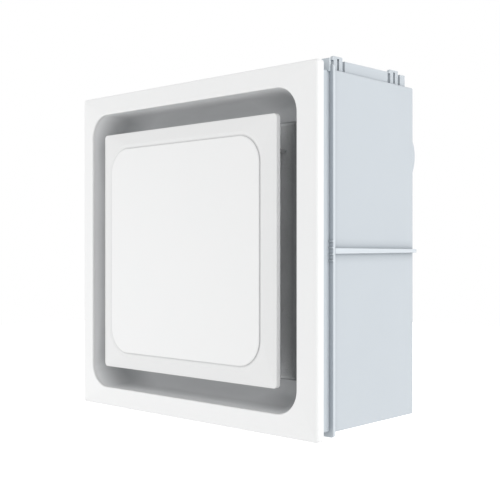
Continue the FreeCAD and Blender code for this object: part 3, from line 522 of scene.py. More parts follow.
def circuit_board():
    """Glass-epoxy board under green solder mask: glossy, with paler runs where copper lies below."""
    material, tree, place = blank("solder_mask")
    runs = add(
        tree,
        "ShaderNodeTexBrick",
        {
            "Vector": place,
            "Scale": per_metre(TRACK_PITCH),
            "Mortar Size": 0.06,
            "Color1": "000000",
            "Color2": "000000",
            "Mortar": "FFFFFF",
        },
    )
    links = {"Factor": runs.outputs["Color"], MIX_A: "0F4A26", MIX_B: "2F7A44"}
    tone = add(tree, "ShaderNodeMix", links, data_type="RGBA").outputs[MIX_OUT]
    surface(tree, {"Base Color": tone, "Roughness": 0.3, "Coat Weight": 0.4, "Coat Roughness": 0.1})
    return material


# Satin white ABS of the cover: nearly even, with a grain that only breaks up its highlights.
# Its grain of about 0.1 mm is drawn at 1.4 mm, because a finer one doesn't show. The grains of the other
# plastics are drawn as coarse for the same reason.
WHITE_ABS = moulded(
    "white_satin_abs", "F1F1F1", "EFF0F0", roughness=0.42, grit=1.4, relief=0.015, edge=0.3
)
# The same satin ABS on the panel, with painted shade in its inner corners and on the legs behind it.
PANEL_ABS = moulded(
    "white_abs_painted_shade",
    "EEEEEE",
    "ECEDED",
    roughness=0.42,
    grit=1.4,
    relief=0.015,
    edge=0.3,
    painted_shade="7C7E80",
    corner=1.5,
    depth=LEG_SHADE_DEPTH,
)
# The same ABS from a spark-eroded tool on the panel's border: rougher, and a shade greyer than the pad as
# painted shade, with painted shade in the groove round it.
BORDER_ABS = moulded(
    "white_eroded_abs_painted_shade",
    "EAEAEA",
    "E8E9E9",
    roughness=0.55,
    grit=1.4,
    relief=0.03,
    edge=0.3,
    painted_shade="7C7E80",
    corner=1.5,
)
# Matte pale ABS of the dish, with painted shade: pale at its lip and darker towards the filter, so the
# slots read deep.
# The painted shade is darkest in its corners.
DISH_ABS = moulded(
    "pale_matte_abs_painted_shade",
    "F4F5F6",
    "EFF0F1",
    roughness=0.55,
    grit=1.4,
    relief=0.03,
    edge=0.4,
    painted_shade="AEB0B2",
    depth=DISH_SHADE_DEPTH,
    ring=DISH_CORNERS,
    corner_shade="989A9C",
    corner_lead=DISH_CORNER_LEAD,
)
# The same grey ABS with a coarser grain on the filter's lattice and tray.
GREY_ABS = moulded(
    "grey_grained_abs", "D9DADB", "D4D5D7", roughness=0.6, grit=2.0, relief=0.05, edge=0.4
)
# Pale blue-grey polystyrene of the wall box: a soft sheen, edges and proud ribs paled by wear and painted
# highlight, and painted shade in its inner corners.
BOX_PLASTIC = moulded(
    "pale_polystyrene",
    "C5CCD2",
    "C2C9CF",
    roughness=0.48,
    grit=2.2,
    relief=0.03,
    edge=0.5,
    wear_and_highlight="D3DAE0",
    proud=BOX_HIGHLIGHT_REACH,
    painted_shade="747C84",
    corner=7.0,
)
# The same polystyrene on the collar, without the box's painted shade in its corners.
COLLAR_PLASTIC = moulded(
    "clean_polystyrene", "CAD1D7", "C6CED4", roughness=0.48, grit=2.2, relief=0.03, edge=0.5
)
# Light grey talc-filled polypropylene of the fan insert: waxy, with a coarse mould grain and painted shade
# in its inner corners.
INSERT_PLASTIC = moulded(
    "talc_polypropylene",
    "C2C5C7",
    "B6BABD",
    roughness=0.5,
    grit=1.8,
    relief=0.05,
    edge=0.5,
    painted_shade="8F9396",
    corner=5.0,
)
# Glass-filled black nylon of the impeller: dull, with a grey bloom of surface fibres.
IMPELLER_PLASTIC = moulded(
    "glass_filled_nylon", "3B3C3E", "4A4B4D", roughness=0.6, grit=1.2, relief=0.05, edge=0.3
)
# Off-white polyamide of the terminals: smooth and slightly shiny.
TERMINAL_PLASTIC = moulded(
    "white_polyamide", "DEDCD4", "D3D1C8", roughness=0.32, grit=1.6, relief=0.02, edge=0.3
)
# Black rubber: dull, with a fine bloom that greys its high spots.
RUBBER = moulded("black_rubber", "232425", "313233", roughness=0.75, grit=1.0, relief=0.05, edge=0.4)
# Dark powder paint of the motor can: orange peel about 2 mm across.
MOTOR_PAINT = moulded(
    "dark_powder_paint", "3A3B3D", "434446", roughness=0.45, grit=2.0, relief=0.12, edge=0.5
)
# Bright zinc plate: cool, with a soft crystalline mottle.
ZINC_STEEL = bare_metal(
    "zinc_plated_steel",
    "C9CBCB",
    "B2B5B8",
    roughness=0.32,
    grain_size=1.2,
    stretch=(1, 1, 1),
    relief=0.01,
)
# Rolled spring steel: drawn lines along the strip.
SPRING_STEEL = bare_metal(
    "rolled_spring_steel",
    "BFC1C4",
    "A6A9AD",
    roughness=0.28,
    grain_size=0.8,
    stretch=(1, 0.08, 1),
    relief=0.01,
)
# Die-cast aluminium: a grainy, matte skin.
DIE_CAST = bare_metal(
    "die_cast_aluminium",
    "C4C5C7",
    "AEB0B2",
    roughness=0.45,
    grain_size=1.5,
    stretch=(1, 1, 1),
    relief=0.05,
)
# Oil-soaked sintered bronze: brown, with pores.
SINTER_BRONZE = bare_metal(
    "sintered_bronze",
    "A9814F",
    "7C5A33",
    roughness=0.4,
    grain_size=0.5,
    stretch=(1, 1, 1),
    relief=0.05,
)
# Lamination stack: sheets of 0.5 mm, drawn 1 mm thick so that they show.
LAMINATION = banded(
    "electrical_steel_stack", "8D9095", "5C5F64", pitch=1.0, axis="Y", metallic=1.0, roughness=0.4
)
# Enamelled copper winding: wire of 0.4 mm, drawn 0.8 mm thick so that it shows.
COPPER_WIRE = banded(
    "enamelled_copper", "C2683C", "7E3B1E", pitch=0.8, axis="Y", metallic=1.0, roughness=0.35
)
FLEECE = fleece()
BOARD = circuit_board()

# Finish of each material slot of the CAD nodes
FINISH = {
    "white_abs": WHITE_ABS,
    "grey_abs": GREY_ABS,
    "pale_box_plastic": BOX_PLASTIC,
    "insert_plastic": INSERT_PLASTIC,
    "impeller_plastic": IMPELLER_PLASTIC,
    "terminal_plastic": TERMINAL_PLASTIC,
    "filter_fleece": FLEECE,
    "black_rubber": RUBBER,
    "zinc_steel": ZINC_STEEL,
    "spring_steel": SPRING_STEEL,
    "lamination_steel": LAMINATION,
    "motor_paint": MOTOR_PAINT,
    "die_cast": DIE_CAST,
    "sinter_bronze": SINTER_BRONZE,
    "copper_wire": COPPER_WIRE,
    "board_green": BOARD,
}

for node_name, cad_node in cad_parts.items():
    for held in cad_node.material_slots:
        held.material = FINISH[held.material.name]
        if node_name == "plaster_collar":
            held.material = COLLAR_PLASTIC


# Mesh building


def rounded_profile(points):
    """Rounds the corners of a profile of (reach, y, fillet, plan corner) points, in millimetres."""
    made = []
    for i, (reach, y, fillet, corner) in enumerate(points):
        if fillet == 0:
            made.append((reach, y, corner))
            continue
        here = Vector((reach, y))
        before = (Vector(points[i - 1][:2]) - here).normalized()
        after = (Vector(points[(i + 1) % len(points)][:2]) - here).normalized()
        half_angle = before.angle(after) / 2
        centre = here + (before + after).normalized() * (fillet / math.sin(half_angle))
        set_back = fillet / math.tan(half_angle)
        first = here + before * set_back - centre
        sweep = first.angle_signed(here + after * set_back - centre)
        for step in range(FILLET_STEPS + 1):
            spoke = Matrix.Rotation(-sweep * step / FILLET_STEPS, 2) @ first
            at = centre + spoke
            made.append((at.x, at.y, corner + at.x - reach))
    return made


def rounded_square(half, y, corner):
    """Points round a rounded square in the plane at y, in metres."""
    points = []
    for quarter in range(4):
        middle = math.pi * (quarter + 0.5) / 2
        hub_x = math.copysign(half - corner, math.cos(middle))
        hub_z = math.copysign(half - corner, math.sin(middle))
        for step in range(CORNER_STEPS + 1):
            angle = math.pi / 2 * (quarter + step / CORNER_STEPS)
            x = hub_x + corner * math.cos(angle)
            z = hub_z + corner * math.sin(angle)
            points.append(Vector((x, y, z)) * MM)
    return points


def circle(hub, radius, y):
    """Points in metres round a circle about the line along Y through hub."""
    angles = [2 * math.pi * step / TURN_STEPS for step in range(TURN_STEPS)]
    return [hub + Vector((radius * math.cos(a), y, radius * math.sin(a))) * MM for a in angles]


def skin(shape, rings, closed):
    """Adds a wall through rings of points, joined end to end or capped at both ends."""
    loops = [[shape.verts.new(point) for point in ring] for ring in rings]
    pairs = list(zip(loops, loops[1:]))
    if closed:
        pairs.append((loops[-1], loops[0]))
    else:
        shape.faces.new(loops[0])
        shape.faces.new(loops[-1])
    for near, far in pairs:
        for i in range(len(near)):
            shape.faces.new((near[i - 1], near[i], far[i], far[i - 1]))


def soft_block(shape, low, high, edge):
    """Adds a block between two corners in metres, with its edges rounded by edge millimetres."""
    size = high - low
    place = Matrix.Translation((low + high) / 2) @ Matrix.Diagonal((*size, 1))
    made = bmesh.ops.create_cube(shape, size=1, matrix=place)
    edges = {e for vert in made["verts"] for e in vert.link_edges}
    bmesh.ops.bevel(
        shape,
        geom=list(edges),
        offset=edge * MM,
        segments=BEVEL_SEGMENTS,
        affect="EDGES",
        profile=0.5,
    )


def plain_mesh(name, shape):
    """Mesh of a finished bmesh, with outward faces and smooth shading up to sharp edges."""
    bmesh.ops.recalc_face_normals(shape, faces=shape.faces)
    for face in shape.faces:
        face.smooth = True
    mesh = bpy.data.meshes.new(name)
    shape.to_mesh(mesh)
    shape.free()
    mesh.set_sharp_from_angle(angle=SHARP_ANGLE)
    return mesh


def linked(name, mesh, material):
    """New object in the scene, of a mesh in one material."""
    obj = bpy.data.objects.new(name, mesh)
    bpy.context.scene.collection.objects.link(obj)
    mesh.materials.append(material)
    return obj


def settle(obj):
    """Turns an object's modifiers into its plain mesh."""
    graph = bpy.context.evaluated_depsgraph_get()
    mesh = bpy.data.meshes.new_from_object(obj.evaluated_get(graph), depsgraph=graph)
    obj.modifiers.clear()
    obj.data = mesh
    return obj


def even_shading(obj):
    """Keeps flat faces flat beside their rounded edges."""
    weigh = obj.modifiers.new("even shading", "WEIGHTED_NORMAL")
    weigh.keep_sharp = True
    return settle(obj)


def joined(first, *others):
    """Adds the meshes of other objects to the first one's."""
    shape = bmesh.new()
    for obj in (first, *others):
        shape.from_mesh(obj.data)
    shape.to_mesh(first.data)
    shape.free()
    for obj in others:
        bpy.data.objects.remove(obj)
    return first


def bevelled(obj, width):
    """Rounds an object's sharp edges by a width in millimetres."""
    edge = obj.modifiers.new("edge", "BEVEL")
    edge.width = width * MM
    edge.segments = BEVEL_SEGMENTS
    edge.limit_method = "ANGLE"
    edge.angle_limit = SHARP_ANGLE
    return settle(obj)


def solids(node):
    """Lowest and highest corners of each separate solid in a CAD node."""
    shape = bmesh.new()
    shape.from_mesh(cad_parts[node].data)
    bmesh.ops.remove_doubles(shape, verts=shape.verts, dist=MERGE_GAP * MM)
    waiting = set(shape.verts)
    boxes = []
    while waiting:
        front = [waiting.pop()]
        reached = []
        while front:
            vert = front.pop()
            reached.append(vert.co.copy())
            near = {edge.other_vert(vert) for edge in vert.link_edges} & waiting
            waiting -= near
            front.extend(near)
        low = Vector(min(values) for values in zip(*reached))
        high = Vector(max(values) for values in zip(*reached))
        boxes.append((low, high))
    shape.free()
    return sorted(boxes, key=lambda box: tuple(box[0]))


def placed(obj, body, slot, *nodes):
    """Puts a finished piece on its body, in the place of its CAD nodes."""
    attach(obj, body)
    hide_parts(*nodes)
    return obj


# Geometry trees


def geometry_tree(name, inputs):
    """New geometry tree with a geometry input, these named inputs and a geometry output."""
    tree = bpy.data.node_groups.new(name, "GeometryNodeTree")
    tree.interface.new_socket("Geometry", in_out="INPUT", socket_type="NodeSocketGeometry")
    for label, kind in inputs.items():
        tree.interface.new_socket(label, in_out="INPUT", socket_type="NodeSocket" + kind)
    tree.interface.new_socket("Geometry", in_out="OUTPUT", socket_type="NodeSocketGeometry")
    return tree, add(tree, "NodeGroupInput").outputs


def copies(tree, finish, links):
    """Ends a tree in real copies of a shape on points, in one finish."""
    many = add(tree, "GeometryNodeInstanceOnPoints", links)
    real = add(tree, "GeometryNodeRealizeInstances", {"Geometry": many.outputs["Instances"]})
    done = add(tree, "GeometryNodeSetMaterial", {"Geometry": real.outputs["Geometry"], "Material": finish})
    add(tree, "NodeGroupOutput", {"Geometry": done.outputs["Geometry"]})
    return tree


def grown(obj, tree, values):
    """Turns an object into what a geometry tree makes of it with these values."""
    maker = obj.modifiers.new(tree.name, "NODES")
    maker.node_group = tree
    for socket in tree.interface.items_tree:
        if socket.in_out == "INPUT" and socket.name in values:
            maker[socket.identifier] = values[socket.name]
    return settle(obj)


def on_points(name, points, tree, values):
    """What a geometry tree makes on these points in metres."""
    mesh = bpy.data.meshes.new(name)
    mesh.from_pydata(points, [], [])
    return grown(linked(name, mesh, values["Finish"]), tree, values)


def headed_pin_tree(recessed):
    """Pins on points, along Y: a tapered head on a shank, with a cross recess if it is a screw."""
    tree, given = geometry_tree(
        "screws" if recessed else "studs",
        {
            "Head Radius": "Float",
            "Head Height": "Float",
            "Shank Radius": "Float",
            "Shank Length": "Float",
            "Recess": "Float",
            "Turn": "Float",
            "Seed": "Int",
            "Finish": "Material",
        },
    )
    crown = add(tree, "ShaderNodeMath", {0: given["Head Radius"], 1: SCREW_CROWN}, operation="MULTIPLY")
    head = add(
        tree,
        "GeometryNodeMeshCone",
        {
            "Vertices": HEAD_SIDES,
            "Radius Top": crown.outputs[0],
            "Radius Bottom": given["Head Radius"],
            "Depth": given["Head Height"],
        },
    )
    shank = add(
        tree,
        "GeometryNodeMeshCylinder",
        {
            "Vertices": SHANK_SIDES,
            "Radius": given["Shank Radius"],
            "Depth": given["Shank Length"],
        },
    )
    half = add(tree, "ShaderNodeMath", {0: given["Shank Length"], 1: -0.5}, operation="MULTIPLY")
    drop = add(tree, "ShaderNodeCombineXYZ", {"Z": half.outputs[0]})
    below = add(
        tree,
        "GeometryNodeTransform",
        {"Geometry": shank.outputs["Mesh"], "Translation": drop.outputs["Vector"]},
    )
    pin = add(
        tree,
        "GeometryNodeMeshBoolean",
        {1: [head.outputs["Mesh"], below.outputs["Geometry"]]},
        operation="UNION",
        solver="EXACT",
    )
    if recessed:
        depth = add(tree, "ShaderNodeMath", {0: given["Recess"], 1: 2.0}, operation="MULTIPLY")
        top = add(tree, "ShaderNodeCombineXYZ", {"Z": given["Head Height"]})
        cross = []
        for long, short in (("X", "Y"), ("Y", "X")):
            links = {long: crown.outputs[0], short: given["Recess"], "Z": depth.outputs[0]}
            size = add(tree, "ShaderNodeCombineXYZ", links)
            bar = add(tree, "GeometryNodeMeshCube", {"Size": size.outputs["Vector"]})
            links = {"Geometry": bar.outputs["Mesh"], "Translation": top.outputs["Vector"]}
            cross.append(add(tree, "GeometryNodeTransform", links).outputs["Geometry"])
        pin = add(
            tree,
            "GeometryNodeMeshBoolean",
            {0: pin.outputs["Mesh"], 1: cross},
            operation="DIFFERENCE",
            solver="EXACT",
        )
    spin = add(
        tree,
        "FunctionNodeRandomValue",
        {"Seed": given["Seed"], 3: 2 * math.pi},
        data_type="FLOAT",
    )
    turn = add(tree, "ShaderNodeCombineXYZ", {"X": given["Turn"], "Y": spin.outputs[1]})
    links = {
        "Points": given["Geometry"],
        "Instance": pin.outputs["Mesh"],
        "Rotation": turn.outputs["Vector"],
    }
    return copies(tree, given["Finish"], links)


def blade_ring_tree():
    """One blade repeated round the line along Y through the hub."""
    tree, given = geometry_tree("blade_ring", {"Count": "Int", "Hub": "Vector", "Finish": "Material"})
    points = add(tree, "GeometryNodePoints", {"Count": given["Count"], "Position": given["Hub"]})
    pitch = add(tree, "ShaderNodeMath", {0: 2 * math.pi, 1: given["Count"]}, operation="DIVIDE")
    order = add(tree, "GeometryNodeInputIndex")
    angle = add(
        tree,
        "ShaderNodeMath",
        {0: order.outputs["Index"], 1: pitch.outputs[0]},
        operation="MULTIPLY",
    )
    turn = add(tree, "ShaderNodeCombineXYZ", {"Y": angle.outputs[0]})
    links = {
        "Points": points.outputs["Points"],
        "Instance": given["Geometry"],
        "Rotation": turn.outputs["Vector"],
    }
    return copies(tree, given["Finish"], links)


def fibre_tree():
    """Bowed fibres lying every way on a surface."""
    tree, given = geometry_tree(
        "fleece_fibres",
        {"Density": "Float", "Length": "Float", "Radius": "Float", "Seed": "Int", "Finish": "Material"},
    )
    points = add(
        tree,
        "GeometryNodeDistributePointsOnFaces",
        {"Mesh": given["Geometry"], "Density": given["Density"], "Seed": given["Seed"]},
    )
    line = add(
        tree,
        "GeometryNodeCurveQuadraticBezier",
        {
            "Resolution": FIBRE_SPANS,
            "Start": (-0.5, 0.0, 0.0),
            "Middle": (0.0, FIBRE_BOW, 0.0),
            "End": (0.5, 0.0, 0.0),
        },
    )
    share = add(tree, "ShaderNodeMath", {0: given["Radius"], 1: given["Length"]}, operation="DIVIDE")
    section = add(
        tree,
        "GeometryNodeCurvePrimitiveCircle",
        {"Resolution": FIBRE_SIDES, "Radius": share.outputs[0]},
    )
    tube = add(
        tree,
        "GeometryNodeCurveToMesh",
        {
            "Curve": line.outputs["Curve"],
            "Profile Curve": section.outputs["Curve"],
            "Fill Caps": True,
        },
    )
    lie = add(
        tree,
        "FunctionNodeRandomValue",
        {
            0: (-FIBRE_TILT, -FIBRE_TILT, 0.0),
            1: (FIBRE_TILT, FIBRE_TILT, 2 * math.pi),
            "Seed": given["Seed"],
        },
        data_type="FLOAT_VECTOR",
    )
    turn = add(
        tree,
        "FunctionNodeRotateRotation",
        {"Rotation": points.outputs["Rotation"], "Rotate By": lie.outputs[0]},
        rotation_space="LOCAL",
    )
    links = {
        "Points": points.outputs["Points"],
        "Instance": tube.outputs["Mesh"],
        "Rotation": turn.outputs["Rotation"],
        "Scale": given["Length"],
    }
    return copies(tree, given["Finish"], links)


# Cover, in millimetres

cover_half = cover_high.x / MM
cover_front = cover_low.y / MM
cover_back = cover_high.y / MM
frame_back = dish_low.y / MM
opening_half = cover_half - COVER_BORDER
rim_half = cover_half - COVER_RIM
dish_back = dish_high.y / MM
dish_floor = dish_back - DISH_WALL
flange_half = dish_high.x / MM
window_half = opening_half - DISH_LEAN - DISH_LEDGE


def cover_frame():
    """Square frame that falls back from its rounded opening to a soft outer edge, with a rim behind."""
    rim_corner = COVER_CORNER - COVER_RIM / 2
    profile = [
        (cover_half, cover_back, SMALL_EDGE, COVER_CORNER),
        (cover_half, cover_front + COVER_FALL, COVER_EDGE, COVER_CORNER),
        (opening_half, cover_front, OPENING_LIP, OPENING_CORNER),
        (opening_half, frame_back, 0, OPENING_CORNER),
        (rim_half, frame_back, COVER_RIM_FILLET, rim_corner),
        (rim_half, cover_back, SMALL_EDGE, rim_corner),
    ]
    shape = bmesh.new()
    skin(shape, [rounded_square(*ring) for ring in rounded_profile(profile)], True)
    shell = linked("cover_frame_shell", plain_mesh("cover_frame_shell", shape), WHITE_ABS)
    seats = [(low + high) / 2 for low, high in solids("dish_washers")]
    studs = on_points(
        "cover_studs",
        [(seat.x, (frame_back + STUD_LENGTH) * MM, seat.z) for seat in seats],
        headed_pin_tree(False),
        {
            "Head Radius": STUD_HEAD_RADIUS * MM,
            "Head Height": STUD_HEAD * MM,
            "Shank Radius": STUD_RADIUS * MM,
            "Shank Length": STUD_LENGTH * MM,
            "Turn": -math.pi / 2,
            "Seed": SCREW_SEED,
            "Finish": WHITE_ABS,
        },
    )
    return even_shading(joined(shell, bevelled(studs, SCREW_BEVEL)))


def dish_side(grow, back):
    """Stations down the funnel and round into its base; the plan corners widen with depth."""
    fillet = DISH_BASE_FILLET + grow
    turn_y = back - fillet
    depths = [(turn_y - frame_back) * step / DISH_STATIONS for step in range(DISH_STATIONS)]
    insets = [0.0] * DISH_STATIONS
    for step in range(DISH_STATIONS + 1):
        angle = math.pi / 2 * step / DISH_STATIONS
        depths.append(turn_y - frame_back + fillet * math.sin(angle))
        insets.append(fillet * (1 - math.cos(angle)))
    stations = []
    for depth, inset in zip(depths, insets):
        share = depth / (back - frame_back)
        half = opening_half - DISH_LEAN * share**2 + grow - inset
        corner = OPENING_CORNER + (DISH_BASE_CORNER - OPENING_CORNER) * share + grow - inset
        stations.append((half, frame_back + depth, 0, corner))
    return stations


def intake_dish():
    """Funnel with a soft inner corner, a window for the filter and a flange behind the frame; its grey is
    painted shade.
    """
    outer = [s for s in dish_side(DISH_WALL, dish_back) if frame_back + DISH_WALL < s[1]]
    profile = dish_side(0, dish_floor) + [
        (window_half, dish_floor, SMALL_EDGE, WINDOW_CORNER),
        (window_half, dish_back, SMALL_EDGE, WINDOW_CORNER),
        *reversed(outer),
        (opening_half + DISH_WALL, frame_back + DISH_WALL, 0, OPENING_CORNER + DISH_WALL),
        (flange_half, frame_back + DISH_WALL, SMALL_EDGE, OPENING_CORNER),
        (flange_half, frame_back, SMALL_EDGE, OPENING_CORNER),
    ]
    shape = bmesh.new()
    skin(shape, [rounded_square(*ring) for ring in rounded_profile(profile)], True)
    return even_shading(linked("intake_dish_shell", plain_mesh("intake_dish_shell", shape), DISH_ABS))


def front_panel():
    """Floating panel: a shallow tray with a sloped border, a groove and a raised pad, on four legs."""
    half = panel_high.x / MM
    pad_front = panel_low.y / MM
    pad_back = pad_front + PANEL_WALL
    crown_y = pad_front + PAD_RISE
    edge_y = crown_y + BORDER_RISE
    back_y = edge_y + PANEL_EDGE
    hollow_y = edge_y + PANEL_SKIN
    groove_y = crown_y + GROOVE_DEPTH
    hollow_half = half - PANEL_RIM
    hollow_corner = PANEL_CORNER - PANEL_RIM / 2
    pad_half = half - PAD_BORDER
    groove_half = pad_half + GROOVE_WIDTH
    crown_half = groove_half + GROOVE_SLOPE
    profile = [
        (pad_half - PANEL_WALL, pad_back, SMALL_EDGE, PAD_CORNER - PANEL_WALL),
        (pad_half - PANEL_WALL, hollow_y, PAD_HOLLOW_EDGE, PAD_CORNER - PANEL_WALL),
        (hollow_half, hollow_y, SMALL_EDGE, hollow_corner),
        (hollow_half, back_y, SMALL_EDGE, hollow_corner),
        (half, back_y, SMALL_EDGE, PANEL_CORNER),
        (half, edge_y, PANEL_SOFT, PANEL_CORNER),
        (crown_half, crown_y, CROWN_SOFT, PAD_CORNER + GROOVE_WIDTH + GROOVE_SLOPE),
        (groove_half, groove_y, 0, PAD_CORNER + GROOVE_WIDTH),
        (pad_half, groove_y, 0, PAD_CORNER),
        (pad_half, pad_front, PAD_SOFT, PAD_CORNER),
    ]
    # Half as large, the pad's outline closes the wall in its flat middle, back and front
    closing = [(pad_half / 2, y, 0, PAD_CORNER / 2) for y in (pad_back, pad_front)]
    rings = rounded_profile([closing[0], *profile, closing[1]])
    shape = bmesh.new()
    skin(shape, [rounded_square(*ring) for ring in rings], False)
    leg_x = half - LEG_SIDE_INSET
    leg_z = half - LEG_END_INSET
    low_leg_x = leg_x * (1 - 1 / LEG_COLUMNS)
    for side in (-1, 1):
        for x, z in ((side * leg_x, leg_z), (side * low_leg_x, -leg_z)):
            low = Vector((x - LEG_WIDTH / 2, pad_back - LEG_BITE, z - LEG_THICK / 2)) * MM
            high = Vector((x + LEG_WIDTH / 2, panel_high.y / MM, z + LEG_THICK / 2)) * MM
            soft_block(shape, low, high, LEG_EDGE)
    panel = linked("front_panel_shell", plain_mesh("front_panel_shell", shape), PANEL_ABS)
    panel.data.materials.append(BORDER_ABS)
    # The border takes the greyer material, whose tone is painted shade on its slope
    for face in panel.data.polygons:
        on_border = face.center.y / MM > crown_y - BORDER_TONE
        face.material_index = int(on_border and face.normal.y < ROOM_FACING)
    return even_shading(panel)


placed(cover_frame(), "cover", "white_abs", "cover_frame")
placed(intake_dish(), "cover", "grey_abs", "intake_dish")
placed(front_panel(), "cover", "white_abs", "front_panel")


# Filter fleece


def fleece_mat():
    """Crowned mat with a lumpy skin and loose fibres, gripped at its edges."""
    low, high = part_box("filter_mat")
    shape = bmesh.new()
    soft_block(shape, low, high, FLEECE_EDGE)
    mat = linked("filter_fleece", plain_mesh("filter_fleece", shape), FLEECE)
    grid = mat.modifiers.new("even grid", "REMESH")
    grid.mode = "VOXEL"
    grid.voxel_size = FLEECE_GRID * MM
    settle(mat)
    window = window_half * MM
    for vert in mat.data.vertices:
        x, y, z = vert.co
        inside = math.prod(max(0.0, 1 - (side / window) ** FLEECE_SHOULDER) for side in (x, z))
        lump = noise.noise(vert.co * per_metre(FLEECE_LUMP))
        front = (high.y - y) / (high.y - low.y)
        vert.co.y -= inside * front * (FLEECE_CROWN + FLEECE_RELIEF * lump) * MM
    shape = bmesh.new()
    shape.from_mesh(mat.data)
    shape.normal_update()
    reach = window - FIBRE_LENGTH * MM
    hidden = []
    for face in shape.faces:
        middle = face.calc_center_median()
        if face.normal.y > ROOM_FACING or max(abs(middle.x), abs(middle.z)) > reach:
            hidden.append(face)
    bmesh.ops.delete(shape, geom=hidden, context="FACES")
    fibres = grown(
        linked("fleece_fibres", plain_mesh("fleece_fibres", shape), FLEECE),
        fibre_tree(),
        {
            "Density": FIBRES_PER_CM2 * CM2_PER_M2,
            "Length": FIBRE_LENGTH * MM,
            "Radius": FIBRE_RADIUS * MM,
            "Seed": FIBRE_SEED,
            "Finish": FLEECE,
        },
    )
    return joined(mat, fibres)


fleece_piece = placed(fleece_mat(), "cover", "filter_fleece", "filter_mat")


# Impeller


def blade(inner, y0, y1):
    """One forward-curved blade about the line along Y through the origin."""
    back = BLADE_THICK / (inner + BLADE_DEPTH)
    lead = []
    trail = []
    for step in range(BLADE_STATIONS + 1):
        share = step / BLADE_STATIONS
        angle = BLADE_MID_TURN * 4 * share * (1 - share) + BLADE_SWEEP * share * (2 * share - 1)
        for side, turn in ((lead, angle), (trail, angle - back)):
            reach = inner + BLADE_DEPTH * share
            side.append(Vector((reach * math.cos(turn), 0.0, reach * math.sin(turn))))
    outline = lead + trail[::-1]
    shape = bmesh.new()
    skin(shape, [[(point + Vector((0, y, 0))) * MM for point in outline] for y in (y0, y1)], False)
    return linked("impeller_blades", plain_mesh("impeller_blades", shape), IMPELLER_PLASTIC)


def impeller():
    """Drum of forward-curved blades between a disc with a raised hub and a front ring."""
    low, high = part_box("impeller")
    hub = Vector(((low.x + high.x) / 2, 0.0, (low.z + high.z) / 2))
    radius = (high.x - low.x) / 2 / MM
    front = low.y / MM
    back = high.y / MM
    disc = back - DISC_THICK
    hub_front = front + HUB_SET
    hub_back = hub_front + HUB_WALL
    boss = hub_back - HUB_BOSS_LENGTH
    bowl = HUB_RADIUS - HUB_WALL
    turned = [
        (radius, disc, RIM_EDGE),
        (radius, back, RIM_EDGE),
        (bowl, back, RIM_EDGE),
        (bowl, hub_back, HUB_EDGE),
        (SHAFT_RADIUS, hub_back, RIM_EDGE),
        (SHAFT_RADIUS, boss, RIM_EDGE),
        (HUB_BOSS_RADIUS, boss, RIM_EDGE),
        (HUB_BOSS_RADIUS, hub_front, HUB_EDGE),
        (bowl, hub_front, HUB_EDGE),
        (HUB_RADIUS, hub_back, HUB_EDGE),
        (HUB_RADIUS, disc, HUB_EDGE),
    ]
    ring = [
        (radius, front, RIM_EDGE),
        (radius, front + RING_THICK, RIM_EDGE),
        (radius - RING_WIDTH, front + RING_THICK, RIM_EDGE),
        (radius - RING_WIDTH, front, RIM_EDGE),
    ]
    shape = bmesh.new()
    for profile in (turned, ring):
        rings = rounded_profile([(*point, 0.0) for point in profile])
        skin(shape, [circle(hub, reach, y) for reach, y, _ in rings], True)
    drum = linked("impeller_drum", plain_mesh("impeller_drum", shape), IMPELLER_PLASTIC)
    blades = grown(
        blade(radius - BLADE_DEPTH, front + RING_THICK - BLADE_BITE, disc + BLADE_BITE),
        blade_ring_tree(),
        {"Count": BLADE_COUNT, "Hub": hub, "Finish": IMPELLER_PLASTIC},
    )
    return even_shading(joined(drum, blades))


placed(impeller(), "rotor", "impeller_plastic", "impeller")


# Screws


def screws(node, shank, side, tree):
    """Cross-recessed screws in the place of a CAD node's plain ones."""
    boxes = solids(node)
    head = SCREW_HEAD * MM
    seats = []
    for low, high in boxes:
        seat_y = low.y + head if side < 0 else high.y - head
        seats.append(((low.x + high.x) / 2, seat_y, (low.z + high.z) / 2))
    low, high = boxes[0]
    made = on_points(
        node + "_recessed",
        seats,
        tree,
        {
            "Head Radius": (high.x - low.x) / 2,
            "Head Height": head,
            "Shank Radius": shank * MM,
            "Shank Length": high.y - low.y - head,
            "Recess": SCREW_RECESS * MM,
            "Turn": -side * math.pi / 2,
            "Seed": SCREW_SEED,
            "Finish": ZINC_STEEL,
        },
    )
    return even_shading(bevelled(made, SCREW_BEVEL))


screw_tree = headed_pin_tree(True)
for screw_node, (shank_radius, head_side) in SCREW_SETS.items():
    screw_set = screws(screw_node, shank_radius, head_side, screw_tree)
    placed(screw_set, "housing", "zinc_steel", screw_node)


# Studio


def seen_white(tree):
    """1 for rays that should meet a white background: those of the camera, gloss and glass."""
    rays = add(tree, "ShaderNodeLightPath")
    mirror = add(
        tree,
        "ShaderNodeMath",
        {0: rays.outputs["Is Camera Ray"], 1: rays.outputs["Is Glossy Ray"]},
        operation="MAXIMUM",
    )
    glass = add(
        tree,
        "ShaderNodeMath",
        {0: mirror.outputs[0], 1: rays.outputs["Is Transmission Ray"]},
        operation="MAXIMUM",
    )
    return glass.outputs[0]


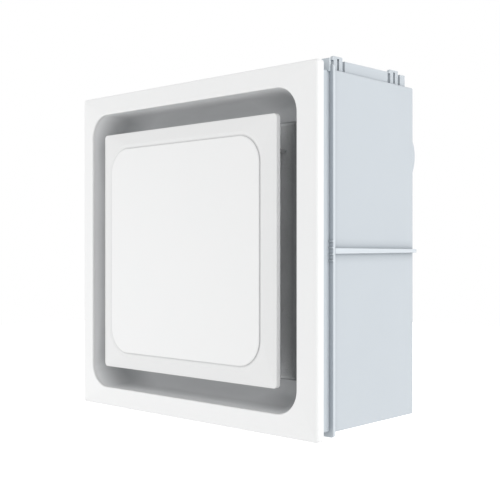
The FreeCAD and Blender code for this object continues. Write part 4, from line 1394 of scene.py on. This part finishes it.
def studio_world():
    """Light from all round, dimmer from above and below, on a white background."""
    world = bpy.data.worlds.new("studio")
    world.use_nodes = True
    tree = world.node_tree
    tree.nodes.clear()
    towards = add(tree, "ShaderNodeTexCoord")
    part = add(tree, "ShaderNodeSeparateXYZ", {"Vector": towards.outputs["Generated"]})
    steep = add(tree, "ShaderNodeMath", {0: part.outputs["Z"]}, operation="ABSOLUTE")
    dimmed = add(
        tree,
        "ShaderNodeMapRange",
        {"Value": steep.outputs[0], "To Min": AMBIENT, "To Max": AMBIENT * (1 - DIMMING)},
    )
    level = add(
        tree,
        "ShaderNodeMapRange",
        {"Value": seen_white(tree), "To Min": dimmed.outputs["Result"], "To Max": 1.0},
    )
    sky = add(
        tree,
        "ShaderNodeBackground",
        {"Color": "FFFFFF", "Strength": level.outputs["Result"]},
    )
    add(tree, "ShaderNodeOutputWorld", {"Surface": sky.outputs["Background"]})
    bpy.context.scene.world = world


def studio_floor():
    """Pale floor well below the part: white to the camera, yet it keeps the part's shadow."""
    material, tree, _ = blank("studio_floor")
    paint = add(tree, "ShaderNodeBsdfDiffuse", {"Color": "F3F3F3"})
    glow = add(tree, "ShaderNodeEmission", {"Strength": FLOOR_GLOW})
    none = add(tree, "ShaderNodeEmission", {"Strength": 0.0})
    white = add(
        tree,
        "ShaderNodeMixShader",
        {0: seen_white(tree), 1: none.outputs[0], 2: glow.outputs[0]},
    )
    both = add(tree, "ShaderNodeAddShader", {0: paint.outputs[0], 1: white.outputs[0]})
    add(tree, "ShaderNodeOutputMaterial", {"Surface": both.outputs[0]})
    shape = bmesh.new()
    bmesh.ops.create_grid(shape, x_segments=1, y_segments=1, size=FLOOR_HALF)
    bmesh.ops.translate(shape, verts=shape.verts, vec=(0, 0, FLOOR_Z))
    mesh = bpy.data.meshes.new("studio_floor")
    shape.to_mesh(mesh)
    shape.free()
    linked("studio_floor", mesh, material)


def soft_box(name, place, size, power):
    """Square area light aimed at the part."""
    lamp = bpy.data.lights.new(name, "AREA")
    lamp.size = size
    lamp.energy = power
    holder = bpy.data.objects.new(name, lamp)
    holder.location = place
    holder.rotation_euler = (AIM - Vector(place)).to_track_quat("-Z", "Y").to_euler()
    bpy.context.scene.collection.objects.link(holder)


def camera():
    """Level camera at the photograph's place and turn."""
    view = bpy.data.cameras.new("photo_camera")
    view.lens = CAMERA_LENS
    holder = bpy.data.objects.new("photo_camera", view)
    holder.location = CAMERA_PLACE
    holder.rotation_euler = (math.pi / 2, 0, CAMERA_TURN)
    bpy.context.scene.collection.objects.link(holder)
    bpy.context.scene.camera = holder


studio_world()
studio_floor()
for light_name, (light_place, light_size, light_power) in SOFT_BOXES.items():
    soft_box(light_name, light_place, light_size, light_power)
camera()
bpy.context.scene.view_settings.view_transform = "Standard"
